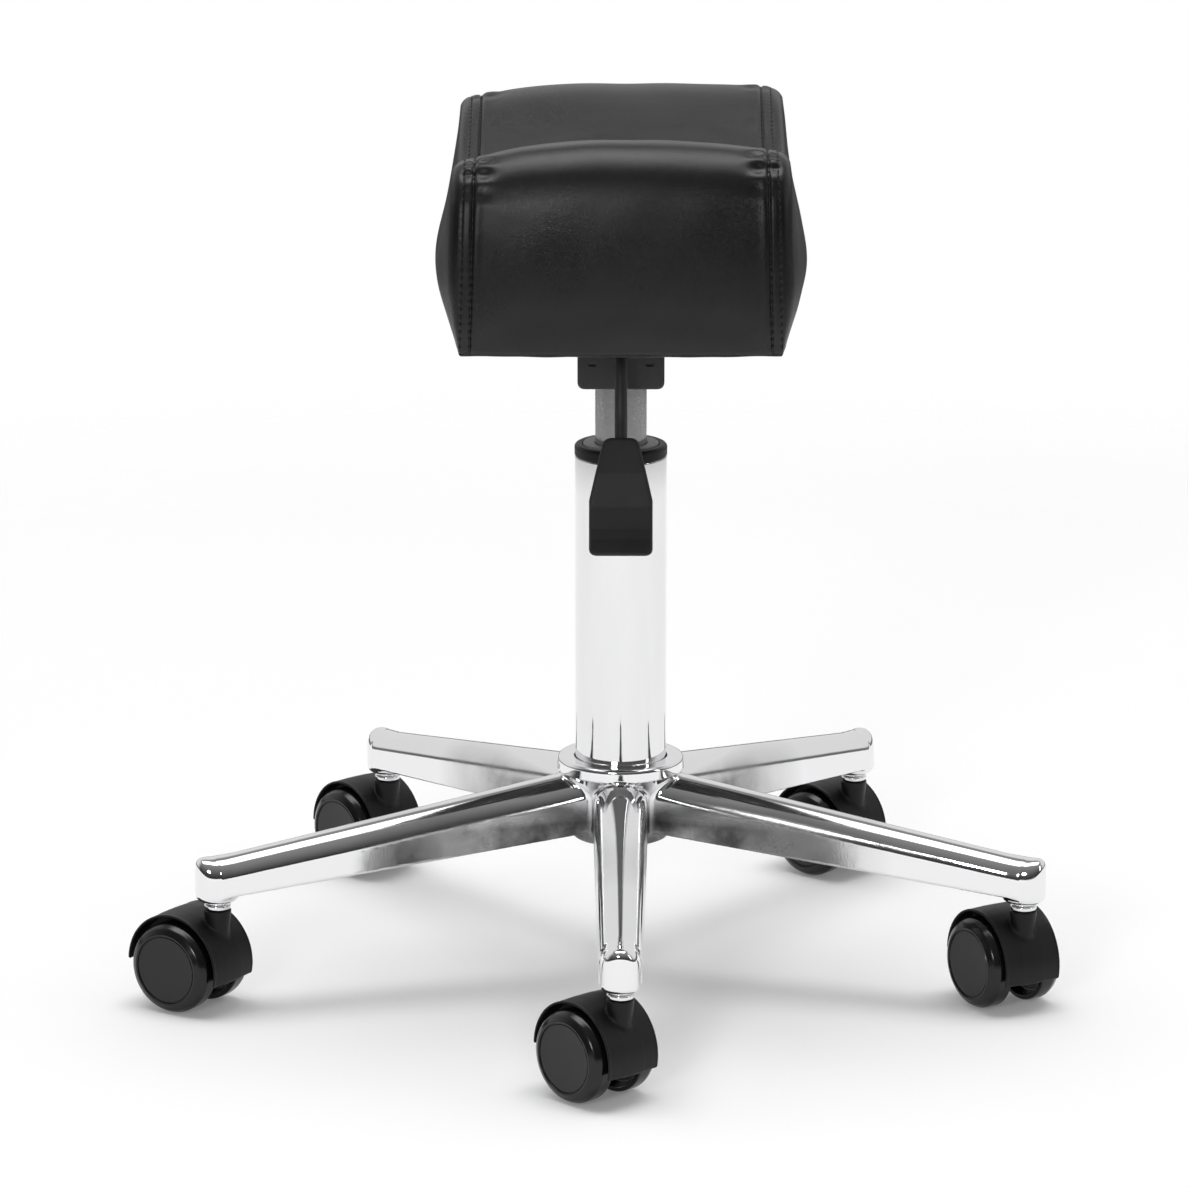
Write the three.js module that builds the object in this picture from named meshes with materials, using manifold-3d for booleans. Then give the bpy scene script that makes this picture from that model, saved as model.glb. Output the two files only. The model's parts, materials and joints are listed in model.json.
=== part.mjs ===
// Rolling stylist stool: saddle seat, paddle-lever gas lift, five-arm base, twin-wheel casters.
// Millimetres, +Z up. The origin is on the floor, under the axis of the gas lift.
// The lever side of the seat faces -Y.
import * as THREE from 'three';
import { mergeVertices } from 'three/addons/utils/BufferGeometryUtils.js';
import Module from 'manifold-3d';

const wasm = await Module();
wasm.setup();

// ---------------------------------------------------------------- driving dimensions

const GAP = 0.3; // between pieces that touch on the real stool
const BORE_GAP = 0.4; // round a pin in its bore, so that the facets stay clear

const ARM_COUNT = 5;
const FRONT_ARM_ANGLE = -Math.PI / 2;
const STEM_CIRCLE_R = 230;

const WHEEL_R = 25;
const WHEEL_INNER_Y = 7.5; // inner end of the wheel's boss
const WHEEL_RIM_INNER_Y = 10;
const WHEEL_OUTER_Y = 23.2;
const WHEEL_DISC_Y = 15.5; // inner side of the disc
const WHEEL_POCKET = 3.2; // the end of the axle stops this far below the outer face
const AXLE_R = 3;
const AXLE_LENGTH = 38.4;
const CASTER_TRAIL = 18.9; // from the stem back to the axle
const HOOD_R = 30.2;
const HOOD_WALL = 2.2;
const HOOD_HALF_WIDTH = 17.6;
const HOOD_FRONT_Z = 17.6;
const HOOD_BOSS_R = 7.5;
const WEB_HALF_WIDTH = 6.8;
const COLLAR_Z = 57.6; // underside of the collar on the caster stem
const COLLAR_HEIGHT = 2.8;
const COLLAR_R = 7.2;
const STEM_R = 5.5;
const STEM_PIN_R = 4;
const STEM_BOTTOM_Z = 34.2;
const GRIP_RING_Z = 70; // a spring ring in a groove of the stem holds it in the arm
const GRIP_RING_HEIGHT = 6;

const ARM_SOCKET_Z = 62.3; // flat mouth of the stem socket under the arm tip
const HUB_BOTTOM_Z = 79;
const HUB_TOP_Z = 125;
const HUB_R = 27.6;
const FLANGE_R = 34.9;
const FLANGE_HEIGHT = 5;
const ARM_WALL = 3;
const ARM_ROOT_R = 22; // the arms start inside the hub
const ARM_RIDGE = { nearR: 35, farR: 235, nearZ: 116.5, farZ: 85.5 };
const ARM_TOP_HALF_WIDTH = { near: 14.4, far: 11 };
const ARM_SKIRT_HALF_WIDTH = { near: 14.8, far: 11.6 };
const ARM_SKIRT = { nearZ: 84.2, farZ: 65 }; // foot of an arm, at the same radii as its ridge
const ARM_RIB_R = 120; // a rib between the two hollows of an arm
const ARM_RIB_THICKNESS = 4;
const ARM_TIP_SOLID = 15; // the arm is solid this close to the stem
const STEM_TOP_Z = 80.2;

const TUBE_R = 25; // outer tube of the gas lift
const TUBE_WALL = 1.5;
const TUBE_TAPER_TOP_Z = 129;
const TUBE_TAPER = 1.1; // radius lost down the taper
const TUBE_BOTTOM_Z = 82;
const TUBE_TOP_Z = 294;
const TUBE_FLOOR = 4;

const CYLINDER_R = 14; // gas cylinder, the part that slides
const CYLINDER_BOTTOM_Z = 105.6;
const CYLINDER_TOP_Z = 358.5;
const CYLINDER_BORE_R = 12;
const ROD_R = 5;
const ROD_NECK_R = 4;
const BUTTON_R = 2.4;

const SEAT_BOTTOM_Z = 373.5;
const SEAT_RIDGE_Z = 483.3;
const SEAT_DIP = 25; // middle of the saddle below its two ridges
const SEAT_LENGTH = 236;
const SEAT_WIDTH = 192.6;
const SEAT_WIDEST_Z = 425;
const SEAT_SEAM_X = 78; // a seam runs lengthways here on each side, and the side panels bulge past it
const SEAT_BULGE_FALL = 13.4; // width lost on each side, 52 mm above or below the widest height
const RIDGE_SPACING = 180;
const BOARD_THICKNESS = 12;
const BOARD_WIDTH = 150;
const BOARD_LENGTH = 212;
const HEM_THICKNESS = 1.2;
const PLATE_THICKNESS = 3;
const PLATE_WIDTH = 110;
const PLATE_LENGTH = 150;

const HOUSING_WIDTH = 47;
const HOUSING_DEPTH = 48;
const HOUSING_BOTTOM_Z = 335.5;
const HOUSING_WALL = 3;

const LEVER_ROD_R = 3.25;
const LEVER_PIVOT = { y: -18, z: 366.6 };
const PIVOT_PIN_R = 2;
const PADDLE_TOP = { y: -60.5, z: 316.5 };
const PADDLE_LENGTH = 65.7;
const PADDLE_LEAN = 0.474; // radians from vertical, its foot standing forward
const PADDLE_WIDTH = 34;
const PADDLE_TOP_WIDTH = 18.4;
const PADDLE_SHOULDER = 34; // down the paddle, where it reaches its full width
const PADDLE_THROAT = 38; // where it is thinnest
const PADDLE_LIP = 54; // where its foot turns out

// Which way each caster trails from its stem, as a turn about +Z from +X.
const CASTERS = [
  { place: 'front', trails: 2.32 },
  { place: 'right_front', trails: 2.11 },
  { place: 'right_rear', trails: 2.4 },
  { place: 'left_rear', trails: 2.28 },
  { place: 'left_front', trails: 2.56 },
];

// Sides on a turned piece: each row suits the size of the round.
const SIDES = { large: 24, medium: 24, wheel: 20, tip: 16, small: 12, tiny: 10 };

// Heights that follow from the ones above.
const BOARD_BOTTOM_Z = SEAT_BOTTOM_Z + HEM_THICKNESS + GAP;
const PLATE_TOP_Z = BOARD_BOTTOM_Z - GAP;
const PLATE_BOTTOM_Z = PLATE_TOP_Z - PLATE_THICKNESS;
const HOUSING_TOP_Z = PLATE_BOTTOM_Z - GAP;

// ---------------------------------------------------------------- materials

const finish = (color, roughness, metalness) => ({ color, roughness, metalness });
const POLISHED_ALUMINIUM = finish(0xd9dadb, 0.12, 1);
const CHROME = finish(0xe4e5e6, 0.06, 1);
const GROUND_STEEL = finish(0x9c9d9e, 0.3, 1);
const BLACK_STEEL = finish(0x2b2b2c, 0.5, 0.4);
const MATTE_PLASTIC = finish(0x1d1d1e, 0.6, 0);
const GLOSS_PLASTIC = finish(0x161617, 0.22, 0);
const GREY_PLASTIC = finish(0x8a8b8b, 0.5, 0);
const BLACK_LEATHER = finish(0x121213, 0.38, 0);
const PLYWOOD = finish(0xb89a6b, 0.7, 0);
const RUBBER = finish(0x202020, 0.85, 0);

// ---------------------------------------------------------------- solids

// Turns a closed three.js geometry into a solid with its faces pointing out.
function solid(geometry) {
  const bare = geometry.clone();
  bare.deleteAttribute('normal');
  bare.deleteAttribute('uv');
  const merged = mergeVertices(bare, 1e-4);
  const points = merged.attributes.position.array;
  const corner = (i) => new THREE.Vector3().fromArray(points, 3 * i);
  const index = merged.index.array;
  const kept = [];
  let volume = 0;
  for (let i = 0; i < index.length; i += 3) {
    const [a, b, c] = [index[i], index[i + 1], index[i + 2]];
    if (a === b || b === c || c === a) continue;
    kept.push([a, b, c]);
    volume += corner(a).dot(corner(b).cross(corner(c)));
  }
  const outward = volume > 0 ? kept : kept.map(([a, b, c]) => [a, c, b]);
  const mesh = new wasm.Mesh({
    numProp: 3,
    vertProperties: new Float32Array(points),
    triVerts: new Uint32Array(outward.flat()),
  });
  return new wasm.Manifold(mesh);
}

function geometryOf(body) {
  const { vertProperties, triVerts } = body.getMesh();
  const geometry = new THREE.BufferGeometry();
  geometry.setAttribute('position', new THREE.BufferAttribute(new Float32Array(vertProperties), 3));
  geometry.setIndex(new THREE.BufferAttribute(new Uint32Array(triVerts), 1));
  geometry.computeVertexNormals();
  return geometry;
}

// A piece turned about the vertical axis from [radius, height] pairs.
function turned(profile, sides, closed = false) {
  const points = profile.map(([r, h]) => new THREE.Vector2(r, h));
  if (closed) points.push(points[0].clone());
  return new THREE.LatheGeometry(points, sides).rotateX(Math.PI / 2);
}

function ring(innerR, outerR, bottomZ, topZ, sides) {
  const profile = [[innerR, bottomZ], [outerR, bottomZ], [outerR, topZ], [innerR, topZ]];
  return turned(profile, sides, true);
}

function rod(radius, bottomZ, topZ, sides) {
  return turned([[0, bottomZ], [radius, bottomZ], [radius, topZ], [0, topZ]], sides);
}

// A round bar along Y, centred on the plane y = 0.
function crossBar(radius, length, sides) {
  return new THREE.CylinderGeometry(radius, radius, length, sides);
}

function roundedRectangle(width, length, cornerR) {
  const x = width / 2;
  const y = length / 2;
  const shape = new THREE.Shape();
  shape.absarc(x - cornerR, y - cornerR, cornerR, 0, Math.PI / 2);
  shape.absarc(cornerR - x, y - cornerR, cornerR, Math.PI / 2, Math.PI);
  shape.absarc(cornerR - x, cornerR - y, cornerR, Math.PI, 1.5 * Math.PI);
  shape.absarc(x - cornerR, cornerR - y, cornerR, 1.5 * Math.PI, 2 * Math.PI);
  return shape;
}

function plate(shape, bottomZ, topZ, curveSegments = 4) {
  const settings = { depth: topZ - bottomZ, bevelEnabled: false, curveSegments };
  return new THREE.ExtrudeGeometry(shape, settings).translate(0, 0, bottomZ);
}

// A shape drawn in X and Z, given a width along Y and centred on y = 0.
function slab(shape, width, curveSegments = 4) {
  const settings = { depth: width, bevelEnabled: false, curveSegments };
  return new THREE.ExtrudeGeometry(shape, settings).rotateX(Math.PI / 2).translate(0, width / 2, 0);
}

// A split ring: an open band with a mouth that faces +X.
function splitRing(innerR, outerR, bottomZ, topZ, mouthAngle) {
  const shape = new THREE.Shape();
  shape.absarc(0, 0, outerR, mouthAngle / 2, 2 * Math.PI - mouthAngle / 2, false);
  shape.absarc(0, 0, innerR, 2 * Math.PI - mouthAngle / 2, mouthAngle / 2, true);
  return plate(shape, bottomZ, topZ, 6);
}

const stool = new THREE.Group();

function add(parent, name, geometryOrBody, look) {
  const body = geometryOrBody.isBufferGeometry ? solid(geometryOrBody) : geometryOrBody;
  const mesh = new THREE.Mesh(geometryOf(body), new THREE.MeshStandardMaterial(look));
  mesh.name = name;
  parent.add(mesh);
}

// ---------------------------------------------------------------- star base

const along = (from, to, t) => from + (to - from) * t;

// Outline of an arm at radius r from the lift axis: a flat-sided skirt under a half-round top.
const reach = (r) => (r - ARM_RIDGE.nearR) / (ARM_RIDGE.farR - ARM_RIDGE.nearR);
const ridgeZ = (r) => along(ARM_RIDGE.nearZ, ARM_RIDGE.farZ, reach(r));
const skirtZ = (r) => along(ARM_SKIRT.nearZ, ARM_SKIRT.farZ, reach(r));
const topHalfWidth = (r) => along(ARM_TOP_HALF_WIDTH.near, ARM_TOP_HALF_WIDTH.far, reach(r));
const skirtHalfWidth = (r) => along(ARM_SKIRT_HALF_WIDTH.near, ARM_SKIRT_HALF_WIDTH.far, reach(r));

// One arm along +X, or the hollow inside it when inset is its wall thickness.
function armBody(fromR, toR, steps, curveSegments, inset) {
  const section = new THREE.Shape();
  section.moveTo(-1, 0);
  section.lineTo(1, 0);
  section.absarc(0, 1, 1, 0, Math.PI);
  const settings = { depth: 1, steps, bevelEnabled: false, curveSegments };
  const geometry = new THREE.ExtrudeGeometry(section, settings);
  const points = geometry.attributes.position;
  const belowSkirt = inset > 0 ? 4 : 0; // a hollow is open at its foot
  for (let i = 0; i < points.count; i += 1) {
    const [side, level] = [points.getX(i), points.getY(i)];
    const r = along(fromR, toR, points.getZ(i));
    const top = topHalfWidth(r) - inset;
    const skirt = skirtHalfWidth(r) - inset;
    const springZ = ridgeZ(r) - inset - top;
    const half = level < 1 ? along(skirt, top, level) : top;
    const z = level < 1 ? along(skirtZ(r) - belowSkirt, springZ, level) : springZ + (level - 1) * top;
    points.setXYZ(i, r, side * half, z);
  }
  return solid(geometry);
}

// The domed end of an arm, which holds the caster stem.
function armTip() {
  const profile = [
    [0, ARM_SOCKET_Z], [8, ARM_SOCKET_Z], [12.3, 66.5], [12, 74], [10.4, 81], [6, 85.6], [0, 87],
  ];
  return solid(turned(profile, SIDES.tip).translate(STEM_CIRCLE_R, 0, 0));
}

function stemSocket() {
  const bore = rod(STEM_R + BORE_GAP, ARM_SOCKET_Z - 1, STEM_TOP_Z + BORE_GAP, SIDES.small);
  return solid(bore.translate(STEM_CIRCLE_R, 0, 0));
}

function hubBody() {
  const flangeUnderZ = HUB_TOP_Z - FLANGE_HEIGHT;
  const profile = [
    [0, HUB_BOTTOM_Z], [HUB_R - 0.8, HUB_BOTTOM_Z], [HUB_R, HUB_BOTTOM_Z + 1.5],
    [HUB_R, flangeUnderZ - 8], [HUB_R + 1.5, flangeUnderZ - 4], [HUB_R + 4.5, flangeUnderZ - 1],
    [FLANGE_R, flangeUnderZ], [FLANGE_R, HUB_TOP_Z - 1.5], [FLANGE_R - 1.5, HUB_TOP_Z], [0, HUB_TOP_Z],
  ];
  return solid(turned(profile, SIDES.large));
}

function starBase() {
  const turn = 360 / ARM_COUNT;
  const front = THREE.MathUtils.radToDeg(FRONT_ARM_ANGLE);
  const hollows = [
    [HUB_R + 7, ARM_RIB_R - ARM_RIB_THICKNESS / 2],
    [ARM_RIB_R + ARM_RIB_THICKNESS / 2, STEM_CIRCLE_R - ARM_TIP_SOLID],
  ];
  let body = hubBody();
  for (let i = 0; i < ARM_COUNT; i += 1) {
    const place = (piece) => piece.rotate([0, 0, front + i * turn]);
    body = body.add(place(armBody(ARM_ROOT_R, STEM_CIRCLE_R, 5, 4, 0))).add(place(armTip()));
    for (const [fromR, toR] of hollows) {
      body = body.subtract(place(armBody(fromR, toR, 2, 2, ARM_WALL)));
    }
    body = body.subtract(place(stemSocket()));
  }
  const boreTopR = TUBE_R - TUBE_TAPER * (TUBE_TAPER_TOP_Z - HUB_TOP_Z) / (TUBE_TAPER_TOP_Z - TUBE_BOTTOM_Z);
  const boreBottomR = TUBE_R - TUBE_TAPER;
  const bore = turned([
    [0, HUB_BOTTOM_Z - 1], [boreBottomR + GAP, HUB_BOTTOM_Z - 1],
    [boreTopR + GAP, HUB_TOP_Z + 1], [0, HUB_TOP_Z + 1],
  ], SIDES.large);
  return body.subtract(solid(bore));
}

// ---------------------------------------------------------------- gas lift

function outerTube() {
  const innerR = TUBE_R - TUBE_WALL;
  const floorZ = TUBE_BOTTOM_Z + TUBE_FLOOR;
  const rodHoleR = ROD_NECK_R + 1;
  return turned([
    [rodHoleR, TUBE_BOTTOM_Z], [TUBE_R - TUBE_TAPER, TUBE_BOTTOM_Z], [TUBE_R, TUBE_TAPER_TOP_Z],
    [TUBE_R, TUBE_TOP_Z], [innerR, TUBE_TOP_Z], [innerR, TUBE_TAPER_TOP_Z],
    [innerR - TUBE_TAPER, floorZ], [rodHoleR, floorZ],
  ], SIDES.large, true);
}

const BUSH_LENGTH = 44;
const BUSH_CAP_Z = TUBE_TOP_Z + GAP;
const COVER_R = 20.7;

function guideBush() {
  const innerR = CYLINDER_R + BORE_GAP;
  const sleeveR = TUBE_R - TUBE_WALL - GAP;
  const recessZ = BUSH_CAP_Z + 4.2;
  const capTopZ = BUSH_CAP_Z + 6.3;
  return turned([
    [innerR, TUBE_TOP_Z - BUSH_LENGTH], [sleeveR, TUBE_TOP_Z - BUSH_LENGTH], [sleeveR, BUSH_CAP_Z],
    [TUBE_R + 0.25, BUSH_CAP_Z], [TUBE_R + 0.25, BUSH_CAP_Z + 3.4], [TUBE_R - 0.8, BUSH_CAP_Z + 5.5],
    [TUBE_R - 2.4, capTopZ], [COVER_R + BORE_GAP, capTopZ], [COVER_R + BORE_GAP, recessZ],
    [innerR, recessZ],
  ], SIDES.large, true);
}

function bushCover() {
  const bottomZ = BUSH_CAP_Z + 4.2 + GAP;
  return ring(CYLINDER_R + BORE_GAP, COVER_R, bottomZ, bottomZ + 2.4, SIDES.large);
}

// The stack on the rod, upwards from the clip under the tube.
const CLIP_Z = 78.4;
const CLIP_HEIGHT = 1.5;
const ROD_BOTTOM_Z = 76.5;
const WASHER_Z = CLIP_Z + CLIP_HEIGHT + GAP;
const LOWER_RACE_Z = TUBE_BOTTOM_Z + TUBE_FLOOR + GAP;
const RACE_HEIGHT = 2;
const CAGE_HEIGHT = 3.5;
const CAGE_Z = LOWER_RACE_Z + RACE_HEIGHT + GAP;
const UPPER_RACE_Z = CAGE_Z + CAGE_HEIGHT + GAP;
const ROD_SHOULDER_Z = UPPER_RACE_Z + RACE_HEIGHT + GAP;
const BUMPER_Z = ROD_SHOULDER_Z + GAP;
const ROD_TOP_Z = 322;
const PISTON_Z = 306;
const PISTON_HEIGHT = 12;

function pistonRod() {
  const grooveR = ROD_NECK_R - 0.8;
  const pistonSeatZ = PISTON_Z - GAP;
  return turned([
    [0, ROD_BOTTOM_Z], [ROD_NECK_R - 0.6, ROD_BOTTOM_Z], [ROD_NECK_R, ROD_BOTTOM_Z + 0.6],
    [ROD_NECK_R, CLIP_Z - 0.2],
    [grooveR, CLIP_Z - 0.2], [grooveR, WASHER_Z - 0.1], [ROD_NECK_R, WASHER_Z - 0.1],
    [ROD_NECK_R, ROD_SHOULDER_Z], [ROD_R, ROD_SHOULDER_Z], [ROD_R, pistonSeatZ],
    [ROD_NECK_R, pistonSeatZ], [ROD_NECK_R, ROD_TOP_Z], [0, ROD_TOP_Z],
  ], SIDES.small);
}

function gasCylinder() {
  const plugZ = CYLINDER_TOP_Z - 14;
  const holeR = BUTTON_R + BORE_GAP;
  return turned([
    [CYLINDER_BORE_R, CYLINDER_BOTTOM_Z], [CYLINDER_R - 1, CYLINDER_BOTTOM_Z],
    [CYLINDER_R, CYLINDER_BOTTOM_Z + 1], [CYLINDER_R, HOUSING_BOTTOM_Z + 1.5],
    [CYLINDER_R - 0.6, CYLINDER_TOP_Z], [holeR, CYLINDER_TOP_Z], [holeR, plugZ],
    [CYLINDER_BORE_R, plugZ],
  ], SIDES.medium, true);
}

const BUTTON_TOP_Z = LEVER_PIVOT.z - LEVER_ROD_R - 0.35;

function releaseButton() {
  return turned([
    [0, CYLINDER_TOP_Z - 13], [BUTTON_R, CYLINDER_TOP_Z - 13], [BUTTON_R, BUTTON_TOP_Z - 0.8],
    [BUTTON_R - 1, BUTTON_TOP_Z], [0, BUTTON_TOP_Z],
  ], SIDES.small);
}

// ---------------------------------------------------------------- lever mechanism

function mechanismHousing() {
  const height = HOUSING_TOP_Z - HOUSING_BOTTOM_Z;
  const cornerR = 3;
  const half = HOUSING_WIDTH / 2;
  const outline = new THREE.Shape();
  outline.moveTo(half, height);
  outline.lineTo(-half, height);
  outline.absarc(cornerR - half, cornerR, cornerR, Math.PI, 1.5 * Math.PI);
  outline.absarc(half - cornerR, cornerR, cornerR, 1.5 * Math.PI, 2 * Math.PI);
  const shell = solid(slab(outline, HOUSING_DEPTH, 3).translate(0, 0, HOUSING_BOTTOM_Z));

  const cavity = new THREE.BoxGeometry(
    HOUSING_WIDTH - 2 * HOUSING_WALL, HOUSING_DEPTH - 2 * HOUSING_WALL, height);
  cavity.translate(0, 0, HOUSING_BOTTOM_Z + HOUSING_WALL + height / 2);

  const socketTopZ = CYLINDER_TOP_Z - 1.5;
  const socket = solid(rod(CYLINDER_R + 4, HOUSING_BOTTOM_Z, socketTopZ, SIDES.medium));
  const bore = turned([
    [0, HOUSING_BOTTOM_Z - 1], [CYLINDER_R + BORE_GAP, HOUSING_BOTTOM_Z - 1],
    [CYLINDER_R + BORE_GAP, HOUSING_BOTTOM_Z + 1.5], [CYLINDER_R - 0.6 + BORE_GAP, socketTopZ + 1],
    [0, socketTopZ + 1],
  ], SIDES.medium);

  const slotWidth = 11;
  const slotBottomZ = LEVER_PIVOT.z - 9;
  const slot = new THREE.BoxGeometry(slotWidth, 2 * HOUSING_WALL, 2 * (HOUSING_TOP_Z - slotBottomZ));
  slot.translate(0, -HOUSING_DEPTH / 2, HOUSING_TOP_Z);
  const pinBore = crossBar(PIVOT_PIN_R + BORE_GAP, HOUSING_WIDTH + 2, SIDES.tiny).rotateZ(Math.PI / 2);
  pinBore.translate(0, LEVER_PIVOT.y, LEVER_PIVOT.z);
  return shell.subtract(solid(cavity)).add(socket).subtract(solid(bore))
    .subtract(solid(slot)).subtract(solid(pinBore));
}

function pivotPin() {
  const pin = crossBar(PIVOT_PIN_R, HOUSING_WIDTH - 0.6, SIDES.tiny).rotateZ(Math.PI / 2);
  return pin.translate(0, LEVER_PIVOT.y, LEVER_PIVOT.z);
}

// A bent bar: over the release button, through the pivot, out under the seat and down.
function leverRod() {
  const downPaddle = (distance) => new THREE.Vector3(
    0,
    PADDLE_TOP.y - distance * Math.sin(PADDLE_LEAN),
    PADDLE_TOP.z - distance * Math.cos(PADDLE_LEAN));
  const path = new THREE.CatmullRomCurve3([
    new THREE.Vector3(0, 4, LEVER_PIVOT.z),
    new THREE.Vector3(0, -12, LEVER_PIVOT.z),
    new THREE.Vector3(0, -27, LEVER_PIVOT.z),
    new THREE.Vector3(0, -40, 358),
    new THREE.Vector3(0, -49.5, 341),
    downPaddle(-12), downPaddle(-4), downPaddle(6), downPaddle(17),
  ]);
  const section = new THREE.Shape();
  section.absarc(0, 0, LEVER_ROD_R, 0, 2 * Math.PI);
  const bar = new THREE.ExtrudeGeometry(section, { extrudePath: path, steps: 18, curveSegments: 4 });
  const eye = crossBar(LEVER_ROD_R + 0.95, 9, SIDES.small).rotateZ(Math.PI / 2);
  const hole = crossBar(PIVOT_PIN_R + BORE_GAP, 12, SIDES.tiny).rotateZ(Math.PI / 2);
  eye.translate(0, LEVER_PIVOT.y, LEVER_PIVOT.z);
  hole.translate(0, LEVER_PIVOT.y, LEVER_PIVOT.z);
  return solid(bar).add(solid(eye)).subtract(solid(hole));
}

// The paddle hangs from its top edge at its own origin, its face to -Y.
function leverPaddle() {
  const half = PADDLE_WIDTH / 2;
  const cornerR = 3.5;
  const face = new THREE.Shape();
  face.moveTo(PADDLE_TOP_WIDTH / 2, 0);
  face.lineTo(-PADDLE_TOP_WIDTH / 2, 0);
  face.lineTo(-half, -PADDLE_SHOULDER);
  face.absarc(cornerR - half, cornerR - PADDLE_LENGTH, cornerR, Math.PI, 1.5 * Math.PI);
  face.absarc(half - cornerR, cornerR - PADDLE_LENGTH, cornerR, 1.5 * Math.PI, 2 * Math.PI);
  face.lineTo(half, -PADDLE_SHOULDER);
  const outline = solid(slab(face, 40, 3));

  // Side view: a deep root round the rod, a thin blade and a lip that turns out.
  const side = new THREE.Shape();
  side.moveTo(-4.8, 0);
  side.lineTo(-4.8, -20);
  side.lineTo(-2.6, -PADDLE_THROAT);
  side.lineTo(-3.2, -PADDLE_LIP);
  side.lineTo(-9, -PADDLE_LENGTH);
  side.lineTo(-6, -PADDLE_LENGTH);
  side.lineTo(0.6, -PADDLE_LIP);
  side.lineTo(1.2, -PADDLE_THROAT);
  side.lineTo(4.8, -20);
  side.lineTo(4.8, 0);
  const blade = slab(side, 2 * PADDLE_WIDTH).rotateZ(Math.PI / 2);
  const socket = rod(LEVER_ROD_R + BORE_GAP, -17.6, 1, SIDES.small);
  return solid(blade).intersect(outline).subtract(solid(socket));
}

// ---------------------------------------------------------------- seat

const SCREW_R = 2.8;
const SCREW_PLACES = [[-42, -60], [42, -60], [-42, 60], [42, 60]];

function withScrewHoles(shape) {
  for (const [x, y] of SCREW_PLACES) {
    const hole = new THREE.Path();
    hole.absarc(x, y, SCREW_R + BORE_GAP, 0, 2 * Math.PI);
    shape.holes.push(hole);
  }
  return shape;
}

function seatScrew() {
  const headZ = PLATE_BOTTOM_Z - GAP - 3;
  return turned([
    [0, headZ], [4, headZ], [5.6, headZ + 1.4], [5.6, headZ + 3], [SCREW_R, headZ + 3],
    [SCREW_R, BOARD_BOTTOM_Z + BOARD_THICKNESS - 1.5], [0, BOARD_BOTTOM_Z + BOARD_THICKNESS],
  ], SIDES.tiny);
}

// The turned-under edge of the cover, stapled to the board round the plate.
function coverHem() {
  const shape = roundedRectangle(BOARD_WIDTH - 1, BOARD_LENGTH - 1, 14);
  const window = roundedRectangle(PLATE_WIDTH + 6, PLATE_LENGTH + 18, 6);
  shape.holes.push(window);
  return plate(shape, SEAT_BOTTOM_Z, SEAT_BOTTOM_Z + HEM_THICKNESS, 3);
}

// A saddle: two ridges across the seat with a dip between them. Its sides bulge from seam to seam.
function seatPad() {
  const height = SEAT_RIDGE_Z - SEAT_BOTTOM_Z;
  const halfLength = SEAT_LENGTH / 2 - 3;
  const edgeR = 28;
  const ridgeY = RIDGE_SPACING / 2;
  const sideFall = 6; // the top edge at a seam, below the middle of the ridge
  const geometry = new THREE.BoxGeometry(2, 2 * halfLength, height, 4, 14, 5);
  const points = geometry.attributes.position;
  for (let i = 0; i < points.count; i += 1) {
    const across = points.getX(i);
    let y = points.getY(i);
    let z = points.getZ(i) + height / 2;
    const overY = Math.max(0, Math.abs(y) - (halfLength - edgeR));
    const overZ = Math.max(0, z - (height - edgeR));
    if (overY > 0 && overZ > 0) {
      const pull = Math.max(overY, overZ) / Math.hypot(overY, overZ);
      y = Math.sign(y) * (halfLength - edgeR + overY * pull);
      z = height - edgeR + overZ * pull;
    }
    const rise = z / height;
    const fromRidge = Math.min(1, Math.abs(y) / ridgeY);
    const dip = SEAT_DIP * (1 + Math.cos(Math.PI * fromRidge)) / 2;
    z -= rise * rise * (dip + sideFall * across * across);
    const fromWidest = (z + SEAT_BOTTOM_Z - SEAT_WIDEST_Z) / 52;
    const bulge = SEAT_WIDTH / 2 - SEAT_BULGE_FALL * fromWidest * fromWidest - SEAT_SEAM_X;
    const inPlan = Math.sqrt(1 - Math.min(1, Math.abs(y) / halfLength) ** 4);
    const convex = 1 + 0.026 * (1 - (2 * rise - 1) ** 2);
    points.setXYZ(i, across * (SEAT_SEAM_X + bulge * inPlan), y * convex, z + SEAT_BOTTOM_Z);
  }
  const pocket = plate(
    roundedRectangle(BOARD_WIDTH + 2 * GAP, BOARD_LENGTH + 2 * GAP, 14),
    SEAT_BOTTOM_Z - 1, BOARD_BOTTOM_Z + BOARD_THICKNESS + GAP, 3);
  return solid(geometry).subtract(solid(pocket));
}

// ---------------------------------------------------------------- casters

// Each caster is made with its stem at the origin and its wheels trailing along +X.
function casterStem() {
  const collarTopZ = COLLAR_Z + COLLAR_HEIGHT;
  const grooveR = STEM_R - 1;
  const grooveZ = GRIP_RING_Z - GAP;
  const grooveTopZ = GRIP_RING_Z + GRIP_RING_HEIGHT + GAP;
  return turned([
    [0, STEM_BOTTOM_Z], [STEM_PIN_R, STEM_BOTTOM_Z], [STEM_PIN_R, COLLAR_Z], [COLLAR_R, COLLAR_Z],
    [COLLAR_R, collarTopZ], [STEM_R, collarTopZ], [STEM_R, grooveZ], [grooveR, grooveZ],
    [grooveR, grooveTopZ], [STEM_R, grooveTopZ], [STEM_R, STEM_TOP_Z], [0, STEM_TOP_Z],
  ], SIDES.small);
}

function gripRing() {
  return splitRing(STEM_R - 0.7, STEM_R, GRIP_RING_Z, GRIP_RING_Z + GRIP_RING_HEIGHT, 0.7);
}

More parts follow.
